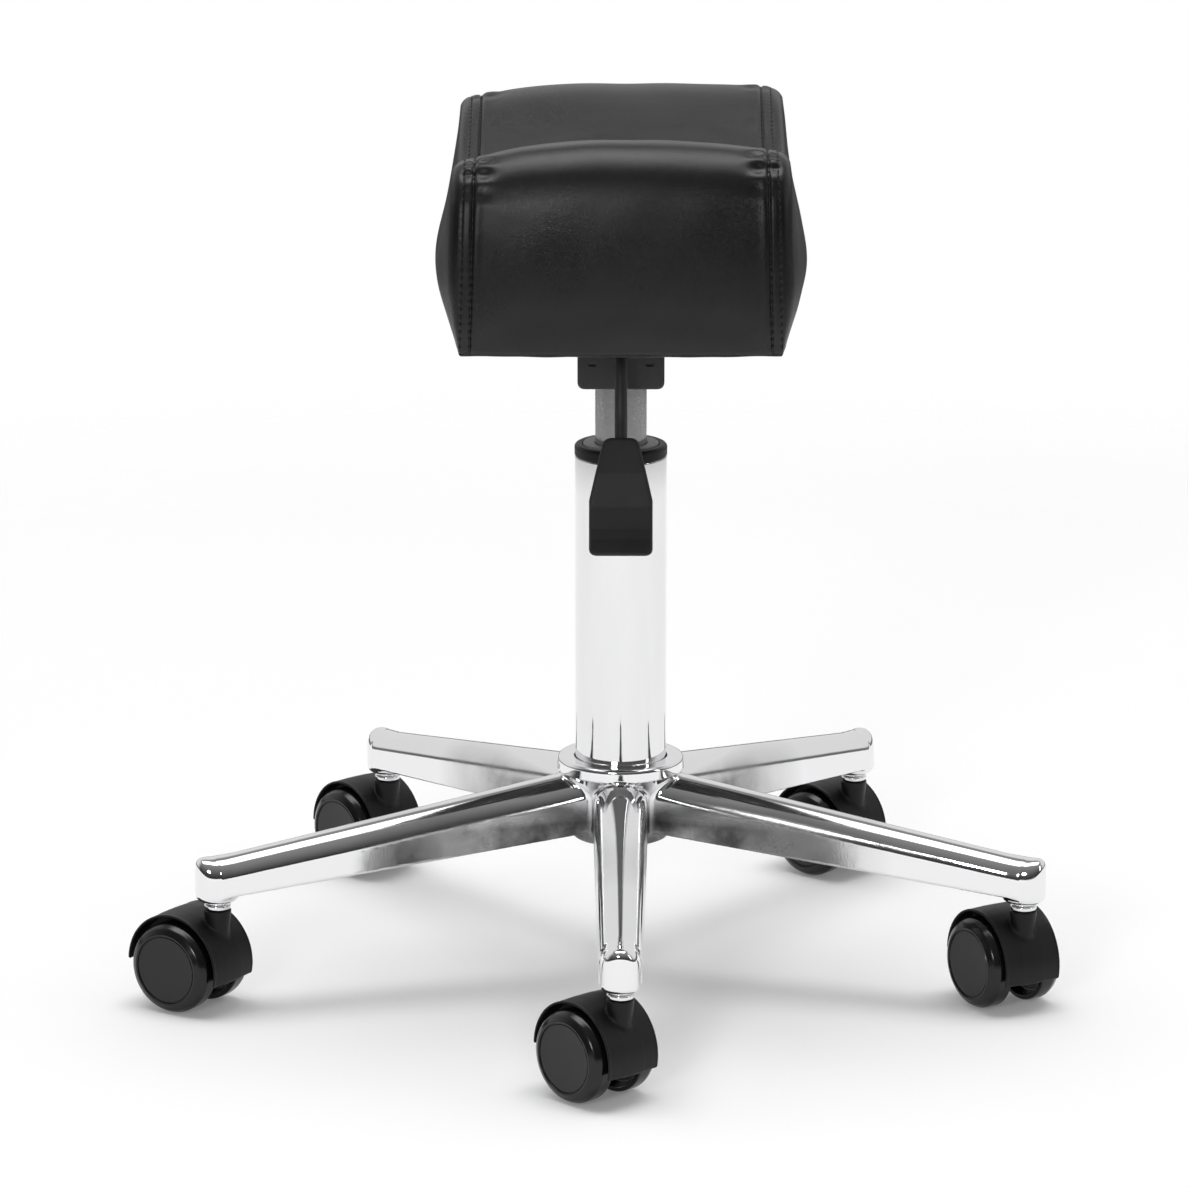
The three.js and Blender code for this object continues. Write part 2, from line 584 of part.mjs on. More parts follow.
function casterHood() {
  const sink = Math.asin((WHEEL_R - HOOD_FRONT_Z) / HOOD_R); // the front edge below the axle
  const innerR = HOOD_R - HOOD_WALL;
  const shellShape = new THREE.Shape();
  shellShape.absarc(CASTER_TRAIL, WHEEL_R, HOOD_R, 0, Math.PI + sink, false);
  shellShape.absarc(CASTER_TRAIL, WHEEL_R, innerR, Math.PI + sink, 0, true);
  const shell = solid(slab(shellShape, 2 * HOOD_HALF_WIDTH, 7));

  const webR = innerR + HOOD_WALL / 2;
  const hubR = 9;
  const webShape = new THREE.Shape();
  webShape.absarc(CASTER_TRAIL, WHEEL_R, webR, 0, Math.PI + sink, false);
  webShape.absarc(CASTER_TRAIL, WHEEL_R, hubR, 1.35 * Math.PI, 2 * Math.PI, false);
  const web = solid(slab(webShape, 2 * WEB_HALF_WIDTH, 7));

  const bossTopZ = COLLAR_Z - GAP;
  const boss = turned([[0, 40], [6.4, 40], [HOOD_BOSS_R, bossTopZ], [0, bossTopZ]], SIDES.small);
  const stemBore = rod(STEM_PIN_R + BORE_GAP, STEM_BOTTOM_Z - BORE_GAP, bossTopZ + 1, SIDES.small);
  const axleBore = crossBar(AXLE_R + BORE_GAP, 2 * HOOD_HALF_WIDTH, SIDES.small);
  axleBore.translate(CASTER_TRAIL, 0, WHEEL_R);
  return shell.add(web).add(solid(boss)).subtract(solid(stemBore)).subtract(solid(axleBore));
}

function casterAxle() {
  return crossBar(AXLE_R, AXLE_LENGTH, SIDES.small).translate(CASTER_TRAIL, 0, WHEEL_R);
}

// A wheel on the +Y side: a dished disc, a rounded rim and a flat tread, open on its inner side.
// Its flats, not its corners, are WHEEL_R from the axle, so that it stands on the floor.
function wheel(side) {
  const rimR = WHEEL_R / Math.cos(Math.PI / SIDES.wheel);
  const boreR = AXLE_R + BORE_GAP;
  const profile = [
    [0, WHEEL_OUTER_Y - 0.9], [18, WHEEL_OUTER_Y], [rimR - 3.2, WHEEL_OUTER_Y - 1.1],
    [rimR - 0.9, WHEEL_OUTER_Y - 2.8], [rimR, WHEEL_OUTER_Y - 4.8], [rimR, WHEEL_RIM_INNER_Y + 0.9],
    [rimR - 2, WHEEL_RIM_INNER_Y], [rimR - 4.4, WHEEL_DISC_Y], [8, WHEEL_DISC_Y],
    [7, WHEEL_INNER_Y], [boreR, WHEEL_INNER_Y],
    [boreR, WHEEL_OUTER_Y - WHEEL_POCKET], [0, WHEEL_OUTER_Y - WHEEL_POCKET],
  ];
  const points = profile.map(([r, y]) => new THREE.Vector2(r, side * y));
  const geometry = new THREE.LatheGeometry(points, SIDES.wheel).rotateY(Math.PI / SIDES.wheel);
  return geometry.translate(CASTER_TRAIL, 0, WHEEL_R);
}

// ---------------------------------------------------------------- assembly

add(stool, 'star_base', starBase(), POLISHED_ALUMINIUM);
add(stool, 'lift_outer_tube', outerTube(), CHROME);
add(stool, 'guide_bush', guideBush(), MATTE_PLASTIC);
add(stool, 'bush_cover', bushCover(), GREY_PLASTIC);
const bearingRace = (z) => ring(4.5, 13, z, z + RACE_HEIGHT, SIDES.small);
add(stool, 'bearing_lower_race', bearingRace(LOWER_RACE_Z), GROUND_STEEL);
add(stool, 'bearing_cage', ring(4.8, 12.5, CAGE_Z, CAGE_Z + CAGE_HEIGHT, SIDES.small), GREY_PLASTIC);
add(stool, 'bearing_upper_race', bearingRace(UPPER_RACE_Z), GROUND_STEEL);
add(stool, 'lift_bumper', ring(5.5, 11, BUMPER_Z, CYLINDER_BOTTOM_Z - BORE_GAP, SIDES.small), RUBBER);
add(stool, 'piston_rod', pistonRod(), GROUND_STEEL);
add(stool, 'piston', ring(4.4, 11.4, PISTON_Z, PISTON_Z + PISTON_HEIGHT, SIDES.small), MATTE_PLASTIC);
add(stool, 'retaining_washer', ring(4.4, 10, WASHER_Z, WASHER_Z + CLIP_HEIGHT, SIDES.small), GROUND_STEEL);
add(stool, 'retaining_clip', splitRing(3.5, 7, CLIP_Z, CLIP_Z + CLIP_HEIGHT, 1.2), GROUND_STEEL);
add(stool, 'gas_cylinder', gasCylinder(), GROUND_STEEL);
const rodGuide = ring(5.5, CYLINDER_BORE_R - BORE_GAP, CYLINDER_BOTTOM_Z + 0.2, 112, SIDES.small);
add(stool, 'rod_guide', rodGuide, RUBBER);
add(stool, 'release_button', releaseButton(), GROUND_STEEL);
add(stool, 'mechanism_housing', mechanismHousing(), BLACK_STEEL);
add(stool, 'lever_pivot_pin', pivotPin(), GROUND_STEEL);
add(stool, 'lever_rod', leverRod(), BLACK_STEEL);

const paddleGroup = new THREE.Group();
paddleGroup.position.set(0, PADDLE_TOP.y, PADDLE_TOP.z);
paddleGroup.rotation.x = -PADDLE_LEAN;
add(paddleGroup, 'lever_paddle', leverPaddle(), MATTE_PLASTIC);
stool.add(paddleGroup);

const plateShape = withScrewHoles(roundedRectangle(PLATE_WIDTH, PLATE_LENGTH, 10));
add(stool, 'mounting_plate', plate(plateShape, PLATE_BOTTOM_Z, PLATE_TOP_Z), BLACK_STEEL);
const boardShape = withScrewHoles(roundedRectangle(BOARD_WIDTH, BOARD_LENGTH, 14));
add(stool, 'seat_board', plate(boardShape, BOARD_BOTTOM_Z, BOARD_BOTTOM_Z + BOARD_THICKNESS), PLYWOOD);
add(stool, 'seat_pad', seatPad(), BLACK_LEATHER);
add(stool, 'cover_hem', coverHem(), BLACK_LEATHER);
SCREW_PLACES.forEach(([x, y], i) => {
  add(stool, `seat_screw_${i + 1}`, seatScrew().translate(x, y, 0), GROUND_STEEL);
});

CASTERS.forEach(({ place, trails }, i) => {
  const angle = FRONT_ARM_ANGLE + (i * 2 * Math.PI) / ARM_COUNT;
  const caster = new THREE.Group();
  caster.position.set(STEM_CIRCLE_R * Math.cos(angle), STEM_CIRCLE_R * Math.sin(angle), 0);
  caster.rotation.z = trails;
  add(caster, `caster_stem_${place}`, casterStem(), CHROME);
  add(caster, `grip_ring_${place}`, gripRing(), GROUND_STEEL);
  add(caster, `caster_hood_${place}`, casterHood(), MATTE_PLASTIC);
  add(caster, `caster_axle_${place}`, casterAxle(), GROUND_STEEL);
  add(caster, `wheel_left_${place}`, wheel(1), GLOSS_PLASTIC);
  add(caster, `wheel_right_${place}`, wheel(-1), GLOSS_PLASTIC);
  stool.add(caster);
});

export default stool;
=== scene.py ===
"""Looks of the rolling stylist stool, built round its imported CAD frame. Metres, +Z up.

Smooth cast and moulded pieces are drawn as implicit surfaces in millimetres, turned pieces as
profiles, and the saddle as a grid that a cloth simulation fills out before it is sewn and stitched.
"""
import json
import math

import bmesh
import bpy
import numpy as np
from mathutils import Matrix, Vector
from mathutils.kdtree import KDTree


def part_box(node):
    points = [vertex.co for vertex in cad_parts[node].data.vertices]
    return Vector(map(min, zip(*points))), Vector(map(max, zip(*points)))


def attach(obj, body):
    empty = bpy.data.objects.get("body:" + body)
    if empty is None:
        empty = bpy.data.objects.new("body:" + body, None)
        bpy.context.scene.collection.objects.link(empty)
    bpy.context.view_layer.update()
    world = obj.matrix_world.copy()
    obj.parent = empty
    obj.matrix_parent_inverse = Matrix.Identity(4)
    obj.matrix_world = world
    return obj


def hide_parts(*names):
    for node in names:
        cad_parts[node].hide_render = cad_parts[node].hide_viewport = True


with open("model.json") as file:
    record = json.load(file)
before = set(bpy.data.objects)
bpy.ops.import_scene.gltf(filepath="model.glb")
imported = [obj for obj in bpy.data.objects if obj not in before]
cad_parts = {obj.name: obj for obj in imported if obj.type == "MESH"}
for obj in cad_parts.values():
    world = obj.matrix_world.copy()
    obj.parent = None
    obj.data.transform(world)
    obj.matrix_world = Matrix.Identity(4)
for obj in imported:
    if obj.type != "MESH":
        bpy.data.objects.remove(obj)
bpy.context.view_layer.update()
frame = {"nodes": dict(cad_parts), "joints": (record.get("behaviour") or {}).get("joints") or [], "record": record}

MM = 0.001
PLACES = ["front", "right_front", "right_rear", "left_rear", "left_front"]
JOINTS = {joint["name"]: joint for joint in frame["joints"]}


def box_mm(node):
    """Lowest and highest corner of a CAD node, in millimetres."""
    low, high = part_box(node)
    return np.array(low) / MM, np.array(high) / MM


# -------------------- mesh helpers

def placed(name, data):
    """A new object in the scene."""
    obj = bpy.data.objects.new(name, data)
    bpy.context.scene.collection.objects.link(obj)
    return obj


def mesh_object(name, points_mm, faces, matrix=None):
    """A smooth-shaded mesh object from points in millimetres."""
    mesh = bpy.data.meshes.new(name)
    mesh.from_pydata((np.asarray(points_mm, float) * MM).tolist(), [], [tuple(f) for f in faces])
    mesh.validate()
    if matrix is not None:
        mesh.transform(matrix)
    mesh.shade_smooth()
    return placed(name, mesh)


def dress(obj, body, slot, *nodes, finish=None):
    """Gives a piece its finish and its body, and hides the CAD nodes that it stands for."""
    obj.data.materials.clear()
    obj.data.materials.append(finish or LOOKS[slot])
    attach(obj, body)
    if nodes:
        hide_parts(*nodes)


def round_turn(sides):
    """Evenly spaced angles once round."""
    return np.arange(sides) * 2 * math.pi / sides


def headings(line):
    """Unit vectors along a line of points."""
    ahead = np.gradient(line, axis=0)
    return ahead / np.linalg.norm(ahead, axis=1, keepdims=True)


def skin(rings, closed=False):
    """Quads between rings of point numbers that follow one another."""
    pairs = list(zip(rings, rings[1:])) + ([(rings[-1], rings[0])] if closed else [])
    return [[a[i], a[(i + 1) % len(a)], b[(i + 1) % len(a)], b[i]] for a, b in pairs for i in range(len(a))]


EDGE_SUPPORT = 0.35  # from the end of a rounded corner to the extra point that keeps a flat shaded flat
MOST_OF_SIDE = 0.42  # share of a side that a rounded corner may take


def rounded(profile, radii, closed=False, arc_steps=5):
    """The profile with each corner turned into an arc. radii has one radius for each corner."""
    points = [np.array(p, float) for p in profile]
    count = len(points)
    out = []
    for i, point in enumerate(points):
        if not closed and i in (0, count - 1):
            out.append(point)
            continue
        before = points[i - 1] - point
        after = points[(i + 1) % count] - point
        len_before, len_after = np.linalg.norm(before), np.linalg.norm(after)
        before, after = before / len_before, after / len_after
        half = math.acos(np.clip(before @ after, -1, 1)) / 2
        if radii[i] <= 0 or half > math.pi / 2 - 0.03:
            out.append(point)
            continue
        room = MOST_OF_SIDE * min(len_before, len_after)
        tangent = min(radii[i] / math.tan(half), room)
        arc_r = tangent * math.tan(half)
        middle = before + after
        centre = point + middle / np.linalg.norm(middle) * (arc_r / math.sin(half))
        start = point + before * tangent - centre
        end = point + after * tangent - centre
        sweep = math.atan2(start[0] * end[1] - start[1] * end[0], start @ end)
        supported = tangent + EDGE_SUPPORT
        if supported < 0.48 * len_before:
            out.append(point + before * supported)
        for k in range(arc_steps + 1):
            a = sweep * k / arc_steps
            c, s = math.cos(a), math.sin(a)
            out.append(centre + np.array([c * start[0] - s * start[1], s * start[0] + c * start[1]]))
        if supported < 0.48 * len_after:
            out.append(point + after * supported)
    return out


def turned(name, profile, sides, closed=False, matrix=None):
    """A piece turned about Z from (radius, height) pairs in millimetres."""
    rows, points = [], []
    angles = round_turn(sides)
    for r, z in profile:
        if r < 1e-6:
            rows.append([len(points)] * sides)
            points.append((0, 0, z))
            continue
        rows.append(list(range(len(points), len(points) + sides)))
        points.extend((r * math.cos(a), r * math.sin(a), z) for a in angles)
    faces = [[v for k, v in enumerate(quad) if v != quad[k - 1]] for quad in skin(rows, closed)]
    return mesh_object(name, points, [face for face in faces if len(set(face)) >= 3], matrix)


# -------------------- implicit surfaces

def join(a, b, k):
    """Union of two fields with a fillet of about k."""
    h = np.clip(0.5 + 0.5 * (b - a) / k, 0, 1)
    return b * (1 - h) + a * h - k * h * (1 - h)


def meet(a, b, k):
    """Intersection with rounded edges."""
    return -join(-a, -b, k)


def cut(a, b, k):
    """a with b taken away."""
    return -join(-a, b, k)


def gradient(field, points):
    eps = 0.02
    columns = []
    for axis in range(3):
        shift = np.zeros(3)
        shift[axis] = eps
        columns.append((field(*(points + shift).T) - field(*(points - shift).T)) / (2 * eps))
    return np.stack(columns, axis=1)


def settle(field, points, step):
    """Moves points onto the surface field == 0."""
    for _ in range(4):
        slope = gradient(field, points)
        value = field(*points.T)
        move = value[:, None] * slope / np.maximum((slope ** 2).sum(1), 0.05)[:, None]
        length = np.linalg.norm(move, axis=1, keepdims=True)
        points = points - move * np.minimum(1, step / np.maximum(length, 1e-9))
    return points


def implicit(name, field, low, high, step, matrix=None):
    """A mesh of the surface field(x, y, z) == 0 inside a box, all in millimetres."""
    xs, ys, zs = (np.arange(a, b + step, step) for a, b in zip(low, high))
    layer_x, layer_y = np.meshgrid(xs, ys, indexing="ij")
    values = np.stack([field(layer_x, layer_y, np.full_like(layer_x, z)) for z in zs], axis=2)
    inside = values < 0
    nx, ny, nz = (count - 1 for count in inside.shape)
    corners = sum(inside[i:i + nx, j:j + ny, k:k + nz].astype(np.int8)
                  for i in (0, 1) for j in (0, 1) for k in (0, 1))
    crossed = (corners > 0) & (corners < 8)
    index = np.full(crossed.shape, -1)
    index[crossed] = np.arange(crossed.sum())
    points = (np.argwhere(crossed) + 0.5) * step + np.array([xs[0], ys[0], zs[0]])

    faces = []
    for axis in range(3):
        u, v = (axis + 1) % 3, (axis + 2) % 3
        near = np.moveaxis(inside, axis, 0)[:-1]
        far = np.moveaxis(inside, axis, 0)[1:]
        places = np.argwhere(near != far)
        order = np.argsort([axis] + [a for a in range(3) if a != axis])
        places = places[:, order]
        kept = (places[:, u] > 0) & (places[:, v] > 0)
        kept &= (places[:, u] < inside.shape[u] - 1) & (places[:, v] < inside.shape[v] - 1)
        places = places[kept]
        one_u, one_v = np.eye(3, dtype=int)[u], np.eye(3, dtype=int)[v]
        ring = [places - one_u - one_v, places - one_v, places, places - one_u]
        quad = np.stack([index[tuple(cell.T)] for cell in ring], axis=1)
        outward = inside[tuple(places.T)]
        faces.append(np.where(outward[:, None], quad, quad[:, ::-1]))
    faces = np.concatenate(faces)

    points = settle(field, points, step)
    edges = np.concatenate([faces[:, [k, (k + 1) % 4]] for k in range(4)])
    for _ in range(2):
        total = np.zeros_like(points)
        near_count = np.zeros(len(points))
        for a, b in (edges.T, edges.T[::-1]):
            np.add.at(total, a, points[b])
            np.add.at(near_count, a, 1)
        even = total / np.maximum(near_count, 1)[:, None]
        points = settle(field, 0.4 * points + 0.6 * even, step)
    obj = mesh_object(name, points, faces, matrix)
    if matrix is None:
        slope = gradient(field, points)
        slope /= np.maximum(np.linalg.norm(slope, axis=1, keepdims=True), 1e-9)
        obj.data.normals_split_custom_set_from_vertices(slope.tolist())
    return obj


def capsule(x, y, z, height, radius, half_length):
    """A bar along X with round ends, for small dents and pins."""
    over = np.maximum(np.abs(x) - half_length, 0)
    return np.sqrt(over ** 2 + y ** 2 + (z - height) ** 2) - radius


# -------------------- materials

class Nodes:
    """A node tree, with short calls for what the finishes and the light here share."""

    def __init__(self, tree, coordinates):
        self.tree = tree
        self.coordinates = self.add("ShaderNodeTexCoord").outputs[coordinates]

    def add(self, kind, inputs=None, **values):
        """A node with its settings, and for its inputs a number, a colour or a link."""
        node = self.tree.nodes.new(kind)
        for key, value in values.items():
            setattr(node, key, value)
        for key, value in (inputs or {}).items():
            if isinstance(value, bpy.types.NodeSocket):
                self.link(value, node.inputs[key])
            else:
                node.inputs[key].default_value = value
        return node

    def link(self, source, target):
        self.tree.links.new(source, target)

    def axes(self):
        """The X, Y and Z parts of the coordinates."""
        parts = self.add("ShaderNodeSeparateXYZ", {"Vector": self.coordinates})
        return [parts.outputs[axis] for axis in "XYZ"]

    def stretched(self, x, y, z):
        mapping = self.add("ShaderNodeMapping", {"Scale": (x, y, z), "Vector": self.coordinates})
        return mapping.outputs["Vector"]

    def noise(self, scale, detail=3.0, roughness=0.5, vector=None):
        node = self.add("ShaderNodeTexNoise", {
            "Scale": scale, "Detail": detail, "Roughness": roughness, "Vector": vector or self.coordinates})
        return node.outputs["Fac"]

    def cells(self, scale, feature="F1"):
        node = self.add("ShaderNodeTexVoronoi", {"Scale": scale, "Vector": self.coordinates}, feature=feature)
        return node.outputs["Distance"]

    def remap(self, value, from_low, from_high, to_low, to_high, kind="LINEAR"):
        node = self.add("ShaderNodeMapRange", {
            "Value": value, "From Min": from_low, "From Max": from_high, "To Min": to_low, "To Max": to_high,
        }, interpolation_type=kind)
        return node.outputs["Result"]

    def math(self, operation, a, b):
        return self.add("ShaderNodeMath", {0: a, 1: b}, operation=operation).outputs["Value"]

    def from_axis(self):
        """Distance from the Z axis."""
        x, y, _ = self.axes()
        squares = self.math("ADD", self.math("MULTIPLY", x, x), self.math("MULTIPLY", y, y))
        return self.math("SQRT", squares, 0)

    def blend(self, share, first, second):
        return self.add("ShaderNodeMix", {"Factor": share, "A": first, "B": second}).outputs["Result"]

    def blend_shaders(self, share, first, second, output):
        """Sends a mix of two shaders to a socket of the tree's output."""
        self.link(self.add("ShaderNodeMixShader", {0: share, 1: first, 2: second}).outputs["Shader"], output)


class Finish(Nodes):
    """A material and its Principled shader."""

    def __init__(self, name, **values):
        self.material = bpy.data.materials.new(name)
        self.material.use_nodes = True
        super().__init__(self.material.node_tree, "Object")
        self.shader = self.tree.nodes["Principled BSDF"]
        for key, value in values.items():
            self.shader.inputs[key.replace("_", " ")].default_value = value

    def colours(self, value, dark, light):
        ends = {"Factor": value, "A": (*dark, 1), "B": (*light, 1)}
        node = self.add("ShaderNodeMix", ends, data_type="RGBA")
        self.link(node.outputs["Result"], self.shader.inputs["Base Color"])

    def roughness(self, value):
        self.link(value, self.shader.inputs["Roughness"])

    def roughness_from(self, noise, low, high):
        self.roughness(self.remap(noise, 0.3, 0.7, low, high))

    def bump(self, height, distance, strength=1.0):
        node = self.add("ShaderNodeBump", {"Distance": distance, "Strength": strength, "Height": height})
        normal = self.shader.inputs["Normal"]
        if normal.is_linked:
            self.link(normal.links[0].from_socket, node.inputs["Normal"])
        self.link(node.outputs["Normal"], normal)


def grey(level):
    return (level, level, level * 1.01)


def polished_aluminium():
    """Mirror-polished casting: faint waviness, with cloudy satin on the arm walls near the hub, where the colour
    is also darkened as painted shade.
    """
    n = Finish("polished_aluminium", Metallic=1.0)
    cloud = n.noise(34, 4, 0.6)
    fine = n.noise(1400, 2, 0.6)
    _, _, height = n.axes()
    near_hub = n.remap(n.from_axis(), 0.075, 0.16, 1.0, 0.0)
    low_wall = n.remap(height, 0.092, 0.106, 1.0, 0.0)
    satin_and_painted_shade = n.math("MULTIPLY", n.math("MULTIPLY", near_hub, low_wall), n.remap(cloud, 0.36, 0.6, 0.7, 1.0))
    n.roughness(n.math("ADD", n.remap(cloud, 0.3, 0.7, 0.05, 0.1), n.math("MULTIPLY", satin_and_painted_shade, 0.3)))
    # painted shade: the base colour goes dark low on the arm walls near the hub; only the added roughness there is
    # the satin finish
    n.colours(satin_and_painted_shade, grey(0.84), grey(0.1))
    n.bump(n.math("MULTIPLY", fine, satin_and_painted_shade), 0.00012)
    n.bump(n.noise(55, 2, 0.4), 0.0004, 0.3)
    return n.material


def chrome():
    """Bright plated tube with very faint wiping marks."""
    n = Finish("chrome", Metallic=1.0)
    marks = n.noise(90, 4, 0.6, n.stretched(1, 1, 0.12))
    n.colours(marks, grey(0.76), grey(0.84))
    n.roughness_from(marks, 0.03, 0.075)
    n.bump(n.noise(420, 2, 0.5, n.stretched(1, 1, 0.15)), 0.00004, 0.4)
    return n.material


def ground_steel():
    """Ground cylinder and pins: fine lines round the piece, with a dull oil film."""
    n = Finish("ground_steel", Metallic=1.0)
    film = n.noise(60, 4, 0.6, n.stretched(1, 1, 0.3))
    lines = n.noise(900, 3, 0.7, n.stretched(0.6, 0.6, 4))
    n.colours(film, grey(0.36), grey(0.58))
    n.roughness(n.math("ADD", n.remap(film, 0.3, 0.7, 0.16, 0.26), n.remap(lines, 0.3, 0.7, -0.03, 0.05)))
    n.bump(lines, 0.00005, 0.6)
    return n.material


def powder_coat():
    """Black powder-coated sheet steel: a low orange-peel over a satin black."""
    n = Finish("powder_coat")
    n.colours(n.noise(120, 3), grey(0.022), grey(0.034))
    n.roughness_from(n.noise(300, 3), 0.42, 0.56)
    n.bump(n.noise(1600, 2, 0.6), 0.00008, 0.7)
    return n.material


def moulded_plastic(name="moulded_plastic", shade=1.0):
    """Matte black mouldings: a fine spark-eroded texture with faint flow marks."""
    n = Finish(name, Specular_IOR_Level=0.26)
    flow = n.noise(45, 4, 0.6)
    n.colours(flow, grey(0.0045 * shade), grey(0.0075 * shade))
    n.roughness_from(flow, 0.4, 0.52)
    n.bump(n.cells(1900), 0.00002, 0.4)
    return n.material


def wheel_plastic():
    """Glossier nylon wheels, scuffed a little on the tread."""
    n = Finish("wheel_plastic", Specular_IOR_Level=0.4)
    scuff = n.noise(240, 4, 0.7)
    n.colours(n.noise(60, 3), grey(0.004), grey(0.007))
    n.roughness(n.remap(scuff, 0.35, 0.7, 0.16, 0.26))
    n.bump(n.noise(700, 3, 0.6), 0.00001, 0.25)
    return n.material


def grey_plastic():
    n = Finish("grey_plastic")
    n.colours(n.noise(500, 3), grey(0.2), grey(0.34))
    n.roughness_from(n.noise(900, 3), 0.35, 0.5)
    n.bump(n.cells(1800), 0.00008, 0.6)
    return n.material


def black_leather():
    """Soft black upholstery leather: pebbled grain, fine pores and slow changes of sheen."""
    n = Finish("black_leather", Specular_IOR_Level=0.48)
    pebbles = n.cells(1700, "DISTANCE_TO_EDGE")
    pores = n.noise(2600, 3, 0.6)
    sheen = n.noise(16, 3, 0.5)
    n.colours(n.noise(70, 4), grey(0.002), grey(0.004))
    worn = n.remap(sheen, 0.35, 0.65, 0.26, 0.34)
    n.roughness(n.math("ADD", worn, n.remap(pores, 0.3, 0.7, -0.03, 0.05)))
    n.bump(n.remap(pebbles, 0.0, 0.2, 0.0, 1.0), 0.00003, 0.8)
    n.bump(pores, 0.00003, 0.5)
    return n.material


def black_thread():
    """Waxed polyester thread, twisted."""
    n = Finish("black_thread")
    n.colours(n.noise(900, 2), grey(0.004), grey(0.01))
    n.roughness_from(n.noise(1500, 2), 0.4, 0.6)
    n.bump(n.noise(3000, 2, 0.6), 0.0001, 0.7)
    return n.material


def plywood():
    n = Finish("plywood")
    grain = n.noise(60, 5, 0.65, n.stretched(1, 0.08, 6))
    n.colours(grain, (0.05, 0.04, 0.032), (0.1, 0.08, 0.065))
    n.roughness_from(grain, 0.6, 0.8)
    n.bump(grain, 0.0003, 0.4)
    return n.material


def rubber():
    n = Finish("rubber")
    n.colours(n.noise(200, 3), grey(0.012), grey(0.024))
    n.roughness_from(n.noise(400, 3), 0.7, 0.85)
    n.bump(n.noise(1500, 3), 0.0001, 0.5)
    return n.material


LOOKS = {
    "polished_aluminium": polished_aluminium(),
    "chrome": chrome(),
    "ground_steel": ground_steel(),
    "black_steel": powder_coat(),
    "black_plastic": moulded_plastic(),
    "wheel_plastic": wheel_plastic(),
    "grey_plastic": grey_plastic(),
    "rubber": rubber(),
    "leather": black_leather(),
    "plywood": plywood(),
}
THREAD = black_thread()
PADDLE_PLASTIC = moulded_plastic("paddle_plastic", 6.0)


def dress_cad_nodes():
    """The CAD nodes that stay get the finish of their material slot."""
    for entry in frame["record"]["subparts"]:
        mesh = frame["nodes"][entry["node"]].data
        mesh.materials.clear()
        mesh.materials.append(LOOKS[entry["material_slot"]])


# -------------------- camera, floor and light

CAMERA_PLACE = Vector((0, -3.570, 1.127))
CAMERA_DIP = math.radians(14.32)
CAMERA_YAW = 0.0041
CAMERA_LENS_MM = 204.0


def make_camera():
    data = bpy.data.cameras.new("camera")
    data.lens = CAMERA_LENS_MM
    data.sensor_width = 36
    camera = placed("camera", data)
    camera.location = CAMERA_PLACE
    camera.rotation_euler = (math.pi / 2 - CAMERA_DIP, 0, CAMERA_YAW)
    data.clip_start, data.clip_end = 0.1, 100
    bpy.context.scene.camera = camera


def softbox(name, place, aim, width, height, power):
    data = bpy.data.lights.new(name, "AREA")
    data.shape = "RECTANGLE"
    data.size, data.size_y = width, height
    data.energy = power
    light = placed(name, data)
    light.location = place
    light.rotation_euler = (Vector(aim) - Vector(place)).to_track_quat("-Z", "Y").to_euler()


FLOOR_NEAR, FLOOR_FAR = 1.15, 1.5  # the floor is whole up to the first radius and gone at the second


def make_floor():
    """A pale floor that fades out into the white surround, so that no edge of it shows."""
    half = 4.0
    mesh = bpy.data.meshes.new("floor")
    corners = [(-half, -half, 0), (half, -half, 0), (half, half, 0), (-half, half, 0)]
    mesh.from_pydata(corners, [], [(0, 1, 2, 3)])
    n = Finish("pale_floor", Roughness=0.9, Specular_IOR_Level=0.1, Emission_Color=(1, 1, 1, 1),
               Emission_Strength=0.12)
    n.colours(n.noise(3, 2), (0.85, 0.85, 0.85), (0.87, 0.87, 0.87))
    fade = n.remap(n.from_axis(), FLOOR_NEAR, FLOOR_FAR, 0.0, 1.0)
    clear = n.add("ShaderNodeBsdfTransparent")
    n.blend_shaders(fade, n.shader.outputs["BSDF"], clear.outputs["BSDF"],
                    n.tree.nodes["Material Output"].inputs["Surface"])
    mesh.materials.append(n.material)
    obj = placed("floor", mesh)


CANOPY = 4.9  # strength of the soft light overhead


def make_stage():
    """The floor under a soft canopy of light, in a room that is lighter behind the stool than before it."""
    make_floor()
    world = bpy.data.worlds.new("studio")
    bpy.context.scene.world = world
    world.use_nodes = True
    world.node_tree.nodes.clear()
    n = Nodes(world.node_tree, "Generated")
    x, y, z = n.axes()

    def rise(value, low, high):
        return n.remap(value, low, high, 0, 1, "SMOOTHSTEP")

    def fall(value, low, high):
        return n.remap(value, low, high, 1, 0, "SMOOTHSTEP")

    def background(strength):
        node = n.add("ShaderNodeBackground", {"Color": (1, 1, 1, 1), "Strength": strength})
        return node.outputs["Background"]

    backdrop = n.math("MINIMUM", n.remap(z, 0.03, 0.1, 0.15, 0.8), n.remap(z, 0.66, 0.78, 0.8, 0.25))
    room = n.remap(z, 0.0, 0.9, 0.03, 0.25)
    surround = n.blend(n.remap(y, -0.2, 0.3, 0.0, 1.0), room, backdrop)
    sideways = n.math("MULTIPLY", rise(x, -0.55, -0.3), fall(x, 0.3, 0.55))
    lengthways = n.math("MULTIPLY", rise(y, -0.28, -0.04), fall(y, 0.15, 0.45))
    canopy = n.math("MULTIPLY", n.math("MULTIPLY", sideways, lengthways), n.remap(z, 0.5, 0.7, 0, CANOPY))
    seen = n.add("ShaderNodeLightPath").outputs["Is Camera Ray"]
    n.blend_shaders(seen, background(n.math("ADD", surround, canopy)), background(1.0),
                    n.add("ShaderNodeOutputWorld").inputs["Surface"])

    softbox("left_softbox", (-0.85, -3.0, 1.25), (0, 0, 0.45), 0.7, 0.6, 21)
    softbox("right_softbox", (2.4, -0.8, 1.0), (0, 0, 0.25), 0.3, 1.4, 4)
    bpy.context.scene.view_settings.view_transform = "Standard"


# -------------------- star base

